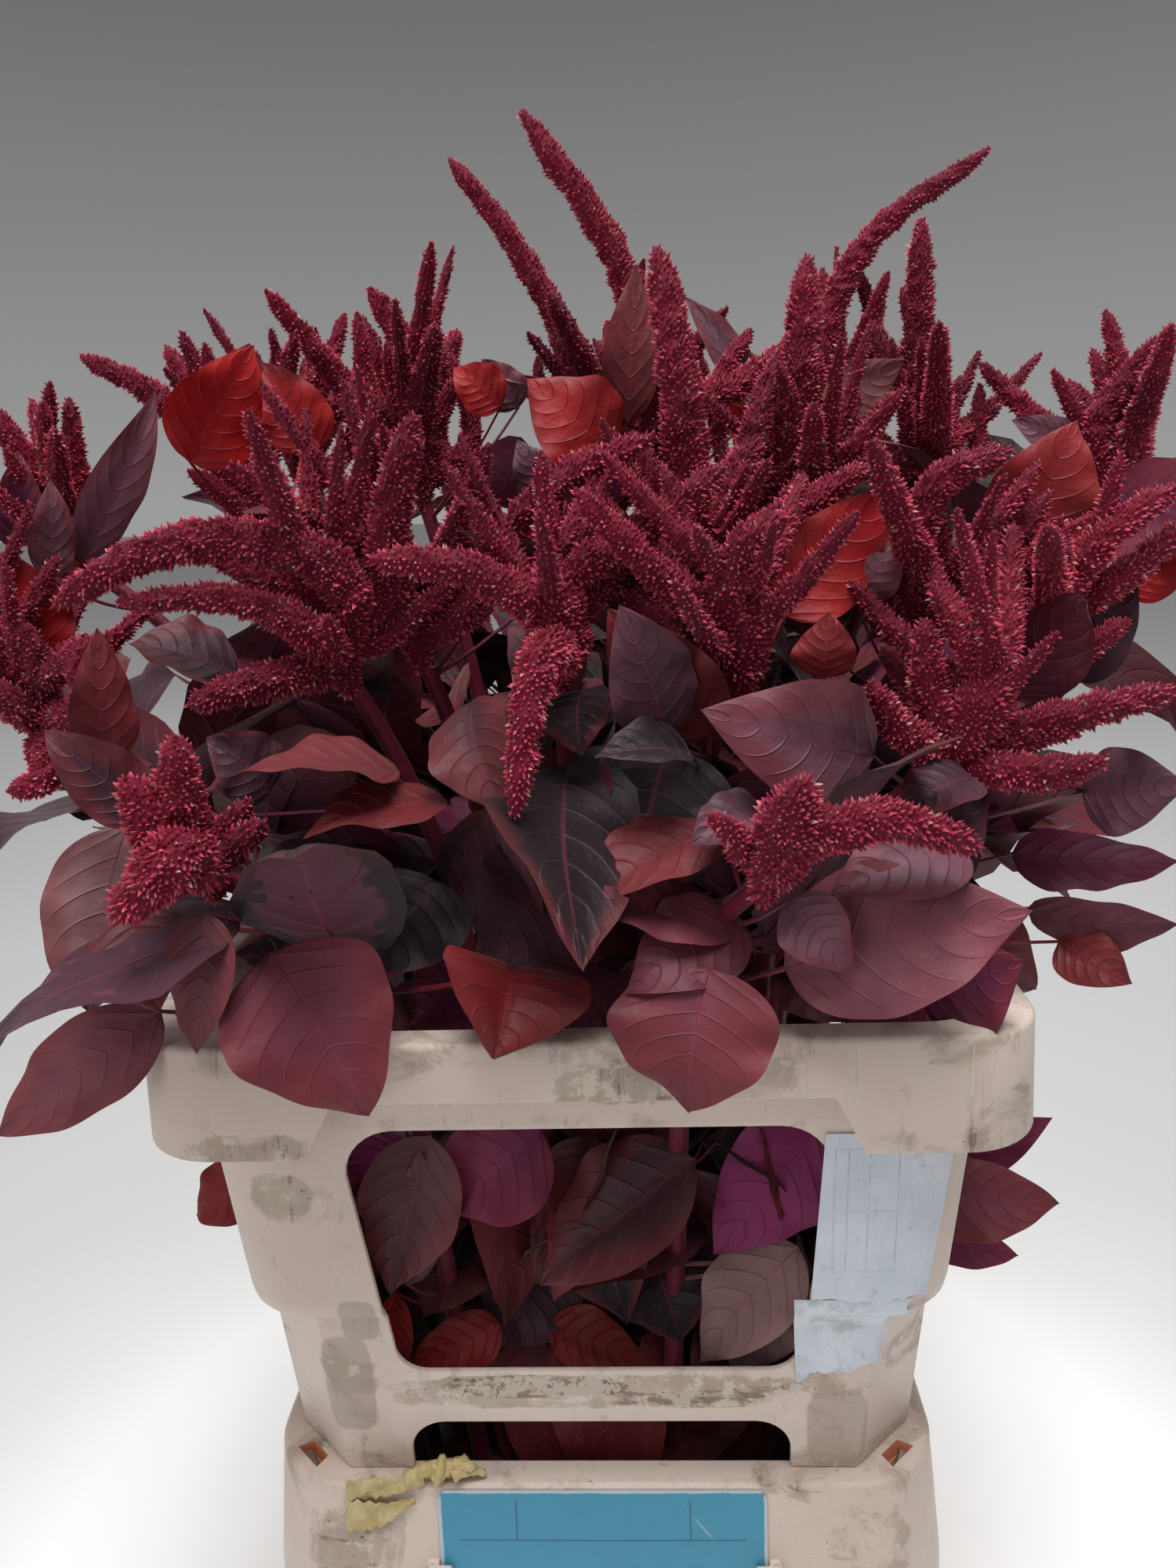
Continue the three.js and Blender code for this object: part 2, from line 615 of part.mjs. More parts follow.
// A stem: straight from its foot through the water to the collar's mouth, then leaning out to its head.
function makeStem(head) {
  const clamp = THREE.MathUtils.clamp;
  const way = V(clamp(head.x * 0.6, -128, 128), clamp(head.y * 0.8, -178, 178), 445);
  const foot = V(way.x * 0.62, way.y * 0.68, FLOOR_T + GAP);
  foot.z += STEM_R * Math.hypot(way.x - foot.x, way.y - foot.y) / way.z;
  const lean = way.clone().sub(foot).normalize();
  const reach = head.distanceTo(way);
  const bend = way.clone().addScaledVector(lean, reach * 0.5);
  const curve = new THREE.QuadraticBezierCurve3(way, bend, head);
  const path = [foot, way, curve.getPoint(0.5), head];
  const radii = [STEM_R, 4.2, 3.8, STEM_TOP_R];
  return { head, path, end: curve.getTangent(1), body: tube(path, radii, 5, 0) };
}

// The stem's middle at a height
function stemAt({ path }, z) {
  let i = 0;
  while (i < path.length - 2 && z > path[i + 1].z) {
    i++;
  }
  return path[i].clone().lerp(path[i + 1], (z - path[i].z) / (path[i + 1].z - path[i].z));
}

// A flower spike: a bumpy tapering tube.
function spikeSolid(points, thickness, count = 4) {
  const curve = new THREE.CatmullRomCurve3(points, false, 'catmullrom', 0.5);
  const rings = points.length > 3 ? 6 : count;
  const path = [];
  const radii = [];
  for (let i = 0; i < rings; i++) {
    const t = 0.93 * i / (rings - 1);
    path.push(curve.getPoint(t));
    const bump = i === 0 ? 1 : 1 + (i % 2 ? 0.08 : -0.08);
    radii.push(1.12 * thickness * Math.min(1, 0.36 + 3 * t) * (1 - 0.5 * t ** 2) * bump);
  }
  const sides = rings > 4 ? 5 : 4;
  return tube(path, radii, sides, Math.PI / sides, points[points.length - 1]);
}

const BLADE = [[0, 0.07], [0.2, 0.72], [0.46, 1], [0.78, 0.52]];
const SMALL_BLADE = [[0, 0.07], [0.36, 1], [0.74, 0.6]];

// A leaf on its stalk. normal is where its upper face looks; bow arches it that way, fold lifts its edges.
function leafSolid(root, from, to, wide, normal, bow, fold, wave) {
  const chord = to.clone().sub(from);
  const n = normal.clone().addScaledVector(chord, -normal.dot(chord) / chord.lengthSq()).normalize();
  const stalk = from.clone().sub(root).normalize();
  const blade = wave && wide > 27 ? BLADE : SMALL_BLADE;
  const section = (middle, along, half, lift, rise, thick) => {
    const side = along.clone().cross(n).normalize();
    const up = side.clone().cross(along).normalize();
    return [
      middle.clone().addScaledVector(side, -half).addScaledVector(up, lift * half + rise),
      middle.clone().addScaledVector(up, thick / 2),
      middle.clone().addScaledVector(side, half).addScaledVector(up, lift * half - rise),
      middle.clone().addScaledVector(up, -thick / 2),
    ];
  };
  const rings = [section(root, stalk, 1.4, 0, 0, 2.6)];
  blade.forEach(([t, w], i) => {
    const middle = from.clone().addScaledVector(chord, t).addScaledVector(n, bow * 4 * t * (1 - t));
    const along = chord.clone().addScaledVector(n, bow * 4 * (1 - 2 * t)).normalize();
    if (i === 0) {
      along.add(stalk).normalize();
    }
    const rise = (i % 2 ? 1 : -1) * wave * (i === 0 ? 0 : 1);
    rings.push(section(middle, along, Math.max(1.5, w * wide / 2), fold * (i ? 1 : 0), rise, LEAF_T * (1 - 0.4 * t)));
  });
  return loft(rings, to.clone(), true);
}

// Room: what is already placed, by node, so that nothing new crosses it
const placed = [];

function place(owner, body) {
  placed.push({ owner, body, box: body.boundingBox() });
}

function isClear(owner, body) {
  const { min, max } = body.boundingBox();
  return placed.every((other) => {
    if (other.owner === owner) {
      return true;
    }
    for (let i = 0; i < 3; i++) {
      if (other.box.min[i] > max[i] + CLEAR || other.box.max[i] < min[i] - CLEAR) {
        return true;
      }
    }
    return body.minGap(other.body, CLEAR) >= CLEAR;
  });
}

// Places the first of the tries that is clear of everything placed before
function placeFirstClear(tries) {
  for (const { owner, make } of tries) {
    const body = make();
    if (body && isClear(owner, body)) {
      place(owner, body);
      return;
    }
  }
}

const SHIFTS = [0, 8, -8, 16, -16, 26, -26, 38, -38];
const GOLDEN = 2.39996;
// The dense core of a head: height above the hub and radius
const CORE = [[8, 12.5], [27, 13.5], [42, 5]];

const stems = [
  ...SEEN_HEADS.map(({ at }) => makeStem(seen(at))),
  ...BACK_HEADS.map(([x, y, z]) => makeStem(V(x, y, z))),
];
const solids = {
  bucket: bucketSolid(),
  collar: collarSolid(),
  water: waterSolid(stems),
  card: cardSolid(),
  sticker: stickerSolid(),
  old_sticker: oldStickerSolid(),
  tape: tapeSolid(),
};
for (const [name, body] of Object.entries(solids)) {
  place(name, body);
}
const label = (i) => String(i + 1).padStart(2, '0');
stems.forEach((stem, i) => {
  place('stem_' + label(i), stem.body);
});
stems.forEach((stem, i) => {
  const base = stem.head.clone().addScaledVector(stem.end, GAP + 0.1);
  stem.hub = stem.head.clone().addScaledVector(stem.end, HUB);
  stem.out = Math.atan2(stem.head.y, stem.head.x);
  stem.lift = stem.end.clone().add(UP).normalize();
  const core = CORE.map(([h]) => stem.hub.clone().addScaledVector(stem.lift, h));
  place('head_' + label(i), tube([base, ...core], [3.2, ...CORE.map(([, r]) => r)], 4, Math.PI / 4));
});
SEEN_HEADS.forEach(({ spikes }, i) => {
  spikes.forEach(([thickness, ...points]) => {
    const tries = SHIFTS.map((shift) => ({
      owner: 'head_' + label(i),
      make: () => spikeSolid([
        stems[i].hub,
        ...points.map(([px, py, y]) => seen([px, py, y + shift])),
      ], thickness),
    }));
    placeFirstClear(tries);
  });
});

SEEN_LEAVES.forEach(([from, to, wide, turn, bow, fold]) => {
  const tries = [];
  for (const shift of SHIFTS) {
    const a = seen([from[0], from[1], from[2] + shift]);
    const b = seen([to[0], to[1], to[2] + shift]);
    const along = b.clone().sub(a).normalize();
    const facing = EYE.clone().sub(a).normalize().applyAxisAngle(along, turn * Math.PI / 180);
    const near = stems.map((stem, i) => {
      const z = Math.min(Math.max(a.z - 18, 262), stem.head.z - 5);
      return { i, root: stemAt(stem, z) };
    }).sort((p, q) => p.root.distanceTo(a) - q.root.distanceTo(a)).slice(0, 3);
    for (const { i, root } of near) {
      tries.push({
        owner: 'stem_' + label(i),
        make: () => leafSolid(root, a, b, wide, facing, bow, fold, wide * 0.02),
      });
    }
  }
  placeFirstClear(tries);
});

const heading = (az, elev) => V(
  Math.cos(az) * Math.cos(elev),
  Math.sin(az) * Math.cos(elev),
  Math.sin(elev),
);
const SWINGS = [0, 0.4, -0.4, 0.8, -0.8, 1.3, -1.3, 1.9, -1.9, 2.5, -2.5, 0];
const SIZES = [1, 1, 1, 0.92, 0.92, 0.84, 0.84, 0.76, 0.76, 0.7, 0.7, 0.6];

// More spikes standing out of each head's core, by rule
stems.forEach((stem, i) => {
  const random = randomFrom(500 + i);
  const behind = i >= SEEN_HEADS.length;
  const count = behind ? 5 : SEEN_HEADS[i].more;
  for (let k = 0; k < count; k++) {
    const [a, b, c, d] = [random(), random(), random(), random()];
    const main = behind && k === 0;
    const az = stem.out + (k + 1) * GOLDEN + a - 0.5;
    const elev = main ? 1.25 : 0.3 + 0.75 * b;
    const long = main ? 120 + 30 * c : 56 + 34 * c;
    const root = stem.hub.clone().addScaledVector(stem.lift, main ? 30 : 8 + 26 * d);
    const tries = SWINGS.map((swing, v) => ({
      owner: 'head_' + label(i),
      make: () => {
        const way = heading(az + swing, elev);
        const reach = long * SIZES[v];
        const tip = root.clone().addScaledVector(way, reach);
        tip.z += main ? 0 : 0.1 * reach;
        const half = root.clone().addScaledVector(way, reach * 0.5);
        return spikeSolid([root, half, tip], 7 + 1.6 * d, main ? 4 : 3);
      },
    }));
    placeFirstClear(tries);
  }
});

// Whether a leaf's tip would hang over the rim or out of a window, where the photo shows only the few named above
function pokesOut({ x, y, z }) {
  const room = z > TOP ? -5 : -48;
  return z < TOP + 15 && (Math.abs(x) > RIM_X + room || Math.abs(y) > RIM_Y + room);
}

// More leaves up each stem, by rule
const LEAVES_UP = 3;
stems.forEach((stem, i) => {
  const random = randomFrom(100 + i);
  for (let k = 0; k < LEAVES_UP; k++) {
    const [a, b, c, d, e] = [random(), random(), random(), random(), random()];
    const inside = k === 0;
    const climb = Math.min(stem.head.z - 485, 130);
    const z = inside ? 320 + 90 * a : 476 + climb * (k === 1 ? 0.4 * a : 0.6 + 0.4 * a);
    const root = stemAt(stem, z);
    const az = stem.out + (k % 2 ? 1 : -1) * (0.15 + 1.3 * b);
    const elev = k === 1 ? 0.45 + 0.5 * c : -0.3 - 0.5 * c;
    const tries = SWINGS.map((swing, v) => ({
      owner: 'stem_' + label(i),
      make: () => {
        const size = SIZES[v] * (inside ? 0.8 : 1);
        const from = root.clone().addScaledVector(heading(az + swing, 0.4), (14 + 16 * c) * size);
        const way = heading(az + swing, elev);
        const to = from.clone().addScaledVector(way, (84 + 40 * d) * size);
        const face = heading(az + swing, elev + Math.PI / 2).applyAxisAngle(way, 1.6 * (e - 0.5));
        const wide = (52 + 24 * d) * size;
        return pokesOut(to) ? null : leafSolid(root, from, to, wide, face, 7 * size, 0.12, 0);
      },
    }));
    placeFirstClear(tries);
  }
});

const group = new THREE.Group();
const crimson = new THREE.MeshStandardMaterial({ color: 0x9b1f3d, roughness: 0.8 });
const maroon = new THREE.MeshStandardMaterial({ color: 0x5b2736, roughness: 0.6 });
const plastic = new THREE.MeshStandardMaterial({ color: 0xd8cdbd, roughness: 0.55 });
const paper = new THREE.MeshStandardMaterial({ color: 0xd9dde2, roughness: 0.7 });
const materials = {
  bucket: plastic,
  collar: plastic,
  water: new THREE.MeshStandardMaterial({ color: 0x8fa39a, roughness: 0.1 }),
  card: new THREE.MeshStandardMaterial({ color: 0x3f9cc4, roughness: 0.7 }),
  sticker: paper,
  old_sticker: paper,
  tape: new THREE.MeshStandardMaterial({ color: 0xc9b37a, roughness: 0.5 }),
};
for (const owner of new Set(placed.map((item) => item.owner))) {
  const bodies = placed.filter((item) => item.owner === owner).map((item) => item.body);
  const body = wasm.Manifold.union(bodies).simplify(0.15);
  const mesh = body.getMesh();
  const geometry = new THREE.BufferGeometry();
  geometry.setAttribute('position', new THREE.BufferAttribute(new Float32Array(mesh.vertProperties), 3));
  geometry.setIndex(new THREE.BufferAttribute(new Uint32Array(mesh.triVerts), 1));
  const node = new THREE.Mesh(geometry, materials[owner] ?? (owner.startsWith('head') ? crimson : maroon));
  node.name = owner;
  group.add(node);
}
export default group;
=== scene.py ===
import math

import bmesh
import bpy
import numpy as np
from mathutils import Matrix, Vector
from mathutils.kdtree import KDTree


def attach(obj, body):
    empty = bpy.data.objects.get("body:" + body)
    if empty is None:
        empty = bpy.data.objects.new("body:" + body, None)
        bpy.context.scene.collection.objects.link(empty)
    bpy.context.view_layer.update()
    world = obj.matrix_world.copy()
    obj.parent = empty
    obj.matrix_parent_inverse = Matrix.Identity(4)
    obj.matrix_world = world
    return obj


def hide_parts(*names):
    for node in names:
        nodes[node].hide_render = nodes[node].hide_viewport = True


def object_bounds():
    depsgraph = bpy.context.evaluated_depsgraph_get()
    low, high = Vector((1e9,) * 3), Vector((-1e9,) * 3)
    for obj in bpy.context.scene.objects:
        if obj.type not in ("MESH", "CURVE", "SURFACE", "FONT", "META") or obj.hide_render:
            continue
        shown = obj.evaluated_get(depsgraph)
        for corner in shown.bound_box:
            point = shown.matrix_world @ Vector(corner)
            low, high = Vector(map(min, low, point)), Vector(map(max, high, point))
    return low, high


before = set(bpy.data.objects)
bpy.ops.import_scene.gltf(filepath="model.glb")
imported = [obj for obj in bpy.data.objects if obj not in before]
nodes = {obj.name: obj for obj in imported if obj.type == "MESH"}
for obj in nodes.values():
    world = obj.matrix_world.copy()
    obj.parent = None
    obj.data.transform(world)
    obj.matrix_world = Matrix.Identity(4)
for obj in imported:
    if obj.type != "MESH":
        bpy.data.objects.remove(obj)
cadLow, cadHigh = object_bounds()
mm = 0.001

# The photo's camera. Places seen in the photo are given as px across, px down and Y in mm.
eye = {"at": (25, -605, 660), "yaw": -2.7, "pitch": 14, "roll": -2.2, "focal": 1500,
       "wide": 1500, "high": 2000, "sensor": 36, "clip": (0.01, 100)}


def unit(v):
    return v / np.linalg.norm(v)


def vec(*xyz):
    return np.array(xyz, float)


eyeAt = vec(*eye["at"])
yaw, pitch, roll = (math.radians(eye[k]) for k in ("yaw", "pitch", "roll"))
eyeAhead = vec(math.sin(yaw) * math.cos(pitch), math.cos(yaw) * math.cos(pitch), -math.sin(pitch))
levelRight = vec(math.cos(yaw), -math.sin(yaw), 0)
levelUp = np.cross(levelRight, eyeAhead)
eyeRight = levelRight * math.cos(roll) + levelUp * math.sin(roll)
eyeUp = levelUp * math.cos(roll) - levelRight * math.sin(roll)
up = vec(0, 0, 1)


def seen(place, shift=0):
    px, py, y = place
    across = eyeRight * (px - eye["wide"] / 2) / eye["focal"]
    ray = eyeAhead + across + eyeUp * (eye["high"] / 2 - py) / eye["focal"]
    return eyeAt + ray * (y + shift - eyeAt[1]) / ray[1]


def paint(*color):  # a colour as a screen shows it, 0 to 255, for a shader
    return (*(c / 255 / 12.92 if c < 11 else ((c / 255 + 0.055) / 1.055) ** 2.4 for c in color), 1)


def added(name, data):  # a new object in the scene
    piece = bpy.data.objects.new(name, data)
    bpy.context.collection.objects.link(piece)
    return piece


def makeCamera():
    data = bpy.data.cameras.new("camera")
    data.sensor_width = eye["sensor"]
    data.lens = eye["sensor"] * eye["focal"] / eye["high"]
    data.clip_start, data.clip_end = eye["clip"]
    camera = added("camera", data)
    aim = Matrix([eyeRight, eyeUp, -eyeAhead]).transposed().to_4x4()
    camera.matrix_world = Matrix.Translation(Vector(eyeAt * mm)) @ aim
    bpy.context.scene.camera = camera


makeCamera()
print("camera")


# Nodes of a material or of a geometry tree. A wire is one output, and sums of wires add Math nodes.
class Wire:
    def __init__(self, tree, socket=None):
        self.tree = tree
        self.socket = socket

    def make(self, kind, settings=None, sockets=None, output=0):
        node = self.tree.nodes.new(kind)
        for key, value in (settings or {}).items():
            if key == "stops":
                ramp = node.color_ramp
                while len(ramp.elements) < len(value):
                    ramp.elements.new(0.5)
                for element, (at, grey) in zip(ramp.elements, value):
                    element.position = at
                    element.color = (grey, grey, grey, 1)
            else:
                setattr(node, key, value)
        for key, value in (sockets or {}).items():
            if isinstance(value, Wire):
                self.tree.links.new(value.socket, node.inputs[key])
            else:
                node.inputs[key].default_value = value
        return Wire(self.tree, node.outputs[output])

    def calc(self, operation, *values):
        return self.make("ShaderNodeMath", {"operation": operation}, dict(enumerate(values)))

    def __add__(self, other):
        return self.calc("ADD", self, other)

    def __sub__(self, other):
        return self.calc("SUBTRACT", self, other)

    def __rsub__(self, other):
        return self.calc("SUBTRACT", other, self)

    def __mul__(self, other):
        return self.calc("MULTIPLY", self, other)

    def __truediv__(self, other):
        return self.calc("DIVIDE", self, other)

    def __rtruediv__(self, other):
        return self.calc("DIVIDE", other, self)

    def __pow__(self, other):
        return self.calc("POWER", self, other)

    __radd__ = __add__
    __rmul__ = __mul__

    def __abs__(self):
        return self.calc("ABSOLUTE", self)

    def step(self, low, high):  # 0 below low, 1 above high, smooth between
        return self.make(
            "ShaderNodeMapRange", {"interpolation_type": "SMOOTHSTEP"},
            {"Value": self, "From Min": low, "From Max": high},
        )

    def near(self, at, inner, outer):  # 1 close to a value, 0 from the outer distance on
        return 1 - abs(self - at).step(inner, outer)

    def blend(self, first, second):  # first where this wire is 0, second where it is 1
        return self.make("ShaderNodeMix", {"data_type": "RGBA"}, {0: self, 6: first, 7: second}, 2)

    def between(self, tones):  # two painted colours
        return self.blend(paint(*tones[0]), paint(*tones[1]))

    def over(self, color, tone):  # a painted colour over another, where this wire is 1
        return self.blend(color, paint(*tone))

    def greys(self, stops):
        return self.make("ShaderNodeValToRGB", {"stops": stops}, {0: self})

    def tinted(self, color):  # this colour times another
        kind = {"data_type": "RGBA", "blend_type": "MULTIPLY"}
        return self.make("ShaderNodeMix", kind, {0: 1, 6: self, 7: color}, 2)


class Finish(Wire):  # a material with a Principled shader, whose constants are set on its own sockets
    def __init__(self, name, constants):
        self.material = bpy.data.materials.new(name)
        self.material.use_nodes = True
        super().__init__(self.material.node_tree)
        self.shader = self.tree.nodes["Principled BSDF"]
        for key, value in constants.items():
            self.shader.inputs[key].default_value = value
        self.place = self.make("ShaderNodeTexCoord", output=3)

    def attribute(self, name, output=2):
        return self.make("ShaderNodeAttribute", {"attribute_name": name}, output=output)

    def noise(self, scale, detail=4, roughness=0.55, place=None, distortion=0):
        return self.make(
            "ShaderNodeTexNoise", {},
            {"Vector": place or self.place, "Scale": scale, "Detail": detail, "Roughness": roughness,
             "Distortion": distortion},
        )

    def axis(self, k, place=None):
        return self.make("ShaderNodeSeparateXYZ", {}, {0: place or self.place}, k)

    def stretched(self, *scale):
        return self.make("ShaderNodeMapping", {}, {"Vector": self.place, "Scale": scale})

    def feed(self, **wires):
        for key, wire in wires.items():
            name = {"color": "Base Color", "roughness": "Roughness", "normal": "Normal"}[key]
            self.tree.links.new(wire.socket, self.shader.inputs[name])

    def bump(self, height, distance, strength=1):
        return self.make("ShaderNodeBump", {}, {"Height": height, "Distance": distance, "Strength": strength})


# Meshes


def joined(shapes):  # shapes are (points, faces, {attribute: one value a point}) in mm
    points, faces, values, start = [], [], {}, 0
    for shapePoints, shapeFaces, shapeValues in shapes:
        points.append(shapePoints)
        faces.extend([tuple(int(i) + start for i in face) for face in shapeFaces])
        for key, value in shapeValues.items():
            values.setdefault(key, []).append(value)
        start += len(shapePoints)
    return np.concatenate(points), faces, {key: np.concatenate(value) for key, value in values.items()}


def meshObject(name, shape, material):
    points, faces, values = shape
    mesh = bpy.data.meshes.new(name)
    mesh.from_pydata(points * mm, [], faces)
    for key, value in values.items():
        kind, field = ("FLOAT", "value") if value.ndim == 1 else ("FLOAT_VECTOR", "vector")
        mesh.attributes.new(key, kind, "POINT").data.foreach_set(field, value.astype(np.float32).ravel())
    mesh.materials.append(material)
    mesh.shade_smooth()
    return added(name, mesh)


def standFor(piece, node):
    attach(piece, "root")
    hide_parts(node)


def baked(piece):  # the evaluated piece as a plain mesh
    graph = bpy.context.evaluated_depsgraph_get()
    shown = piece.evaluated_get(graph)
    mesh = bpy.data.meshes.new_from_object(shown, preserve_all_data_layers=True, depsgraph=graph)
    piece.modifiers.clear()
    piece.data = mesh
    mesh.shade_smooth()
    return piece


def frames(path):  # tangents and two sideways directions along a path, turning as little as they can
    tangents = np.gradient(path, axis=0)
    tangents /= np.linalg.norm(tangents, axis=1)[:, None]
    first = tangents[0]
    u = unit(np.cross(up if abs(first[2]) < 0.9 else vec(1, 0, 0), first))
    sides = []
    for tangent in tangents:
        u = unit(u - tangent * u.dot(tangent))
        sides.append((u, np.cross(tangent, u)))
    return tangents, np.array([s[0] for s in sides]), np.array([s[1] for s in sides])


def tube(path, radii, sides, lumps=None):  # closed at both ends by a point
    tangents, u, w = frames(path)
    turn = np.arange(sides) * 2 * math.pi / sides
    radii = np.asarray(radii)[:, None] * np.ones(sides) * (1 if lumps is None else lumps)
    ring = u[:, None] * np.cos(turn)[:, None] + w[:, None] * np.sin(turn)[:, None]
    points = path[:, None] + ring * radii[..., None]
    count = len(path)
    faces = []
    for i in range(count - 1):
        for j in range(sides):
            k = (j + 1) % sides
            faces.append((i * sides + j, i * sides + k, (i + 1) * sides + k, (i + 1) * sides + j))
    low, high = count * sides, count * sides + 1
    for j in range(sides):
        k = (j + 1) % sides
        faces.append((low, k, j))
        faces.append((high, (count - 1) * sides + j, (count - 1) * sides + k))
    ends = np.array([path[0] - tangents[0] * radii[0, 0] * 0.3, path[-1] + tangents[-1] * radii[-1, 0] * 0.8])
    along = np.concatenate([np.repeat(tangents, sides, axis=0), tangents[[0, -1]]])
    t = np.concatenate([np.repeat(np.linspace(0, 1, count), sides), [0, 1]])
    return np.concatenate([points.reshape(-1, 3), ends]), faces, {"along": along, "t": t}


def randomFrom(seed):  # the same draws as the solids' source makes
    state = [seed]

    def draw():
        state[0] = (state[0] + 0x6D2B79F5) & 0xFFFFFFFF
        a = state[0]
        t = ((a ^ (a >> 15)) * (a | 1)) & 0xFFFFFFFF
        t = ((t + (((t ^ (t >> 7)) * (t | 61)) & 0xFFFFFFFF)) & 0xFFFFFFFF) ^ t
        return ((t ^ (t >> 14)) & 0xFFFFFFFF) / 4294967296

    return draw


# Plants: each head is (start, more spikes by rule, [(a spike's thickness, the points it passes)])
seenHeads = [
    ((290, 1125, -218), 0, [(9.5, (235, 1030, -232), (222, 940, -238)),
        (11.5, (225, 1095, -245), (148, 1172, -255)), (6.5, (312, 1070, -232), (333, 1048, -236))]),
    ((715, 880, -165), 1, [(9.2, (705, 830, -190), (680, 870, -212), (657, 1040, -222)),
        (8.8, (722, 800, -172), (600, 730, -186), (472, 712, -196))]),
    ((962, 1135, -218), 0, [(9.8, (1010, 1075, -232), (1130, 1048, -238), (1250, 1082, -236)),
        (6.5, (940, 1070, -230), (905, 1040, -236))]),
    ((1190, 985, -165), 1, [(8, (1150, 930, -180), (1110, 870, -185)),
        (8.5, (1185, 880, -170), (1180, 790, -172)), (8, (1240, 880, -165), (1255, 770, -165)),
        (8.5, (1300, 935, -170), (1400, 905, -176), (1500, 880, -176)),
        (8, (1280, 985, -180), (1345, 985, -190), (1412, 968, -196))]),
    ((455, 880, -150), 2, [(9.6, (440, 745, -165), (330, 692, -178), (190, 705, -186), (70, 772, -190)),
        (8, (400, 810, -175), (300, 765, -186), (150, 768, -190)),
        (8, (380, 860, -172), (300, 880, -190), (240, 900, -198))]),
    ((545, 850, -125), 3, [(9.6, (500, 760, -155), (500, 650, -172), (528, 530, -178)),
        (8.8, (610, 755, -140), (700, 625, -150), (835, 556, -150)),
        (8, (560, 740, -130), (600, 660, -130))]),
    ((885, 835, -105), 3, [(10.8, (882, 700, -112), (868, 500, -118), (838, 318, -112)),
        (8, (830, 780, -130), (760, 700, -140)), (7.5, (930, 740, -110), (950, 640, -105))]),
    ((925, 905, -160), 2, [(9.6, (922, 800, -170), (945, 705, -180), (1000, 660, -186)),
        (7, (880, 850, -170), (850, 790, -175))]),
    ((1012, 740, -65), 3, [(10.8, (1008, 640, -72), (1022, 480, -78), (1030, 330, -74)),
        (7.5, (980, 640, -70), (965, 560, -66)), (7.5, (1060, 660, -60), (1090, 590, -55))]),
    ((1150, 850, -115), 3, [(9.4, (1158, 720, -125), (1200, 615, -132), (1290, 576, -132)),
        (8, (1120, 770, -125), (1105, 690, -120))]),
    ((1285, 880, -95), 3, [(9.6, (1330, 790, -102), (1410, 685, -108), (1500, 622, -108)),
        (8, (1290, 800, -95), (1300, 720, -90)), (8, (1350, 850, -105), (1440, 790, -110))]),
    ((850, 620, -10), 3, [(9.6, (838, 540, -20), (795, 345, -36), (665, 143, -40)),
        (7.5, (800, 560, 0), (780, 500, 5)), (7.5, (900, 560, -10), (912, 500, -8))]),
    ((780, 610, 80), 3, [(8.8, (742, 470, 80), (655, 310, 80), (573, 203, 78)),
        (7, (700, 540, 90), (685, 455, 95))]),
    ((1045, 590, 80), 3, [(8.8, (1052, 430, 80), (1115, 300, 80), (1262, 190, 76)),
        (7.5, (1120, 480, 90), (1098, 345, 92)), (7, (990, 520, 85), (985, 450, 88))]),
    ((1165, 650, 10), 2, [(9.4, (1165, 520, 12), (1172, 400, 12), (1175, 280, 10)),
        (7, (1205, 590, 20), (1216, 500, 24)), (7, (1240, 600, 15), (1250, 490, 18))]),
    ((545, 650, 0), 3, [(9, (540, 530, 0), (515, 440, 0), (472, 368, 0)),
        (7.8, (480, 560, -8), (455, 398, -10)), (7, (600, 560, 10), (575, 450, 14))]),
    ((410, 640, 80), 2, [(7.8, (405, 520, 84), (440, 400, 88)), (7.8, (360, 540, 80), (318, 440, 78)),
        (7, (450, 560, 85), (485, 430, 90))]),
    ((345, 690, -20), 2, [(8.2, (270, 570, -22), (190, 500, -24), (103, 455, -24)),
        (7.5, (300, 640, -30), (240, 600, -34))]),
    ((120, 725, -40), 2, [(7.6, (98, 610, -42), (88, 508, -42)), (8.4, (55, 620, -50), (-8, 520, -54)),
        (8, (60, 790, -70), (0, 770, -80))]),
    ((75, 930, -120), 1, [(8, (50, 850, -130), (20, 790, -135)), (8, (20, 900, -135), (-30, 860, -140)),
        (8, (60, 990, -140), (10, 1010, -150)), (8, (110, 900, -130), (90, 830, -132))]),
    ((1385, 650, -10), 2, [(7.8, (1400, 540, -14), (1475, 430, -16)),
        (7.6, (1445, 650, -20), (1442, 555, -22))]),
]
backHeads = [(-165, 165, 555), (-80, 215, 570), (5, 170, 620), (90, 215, 575), (170, 160, 560)]

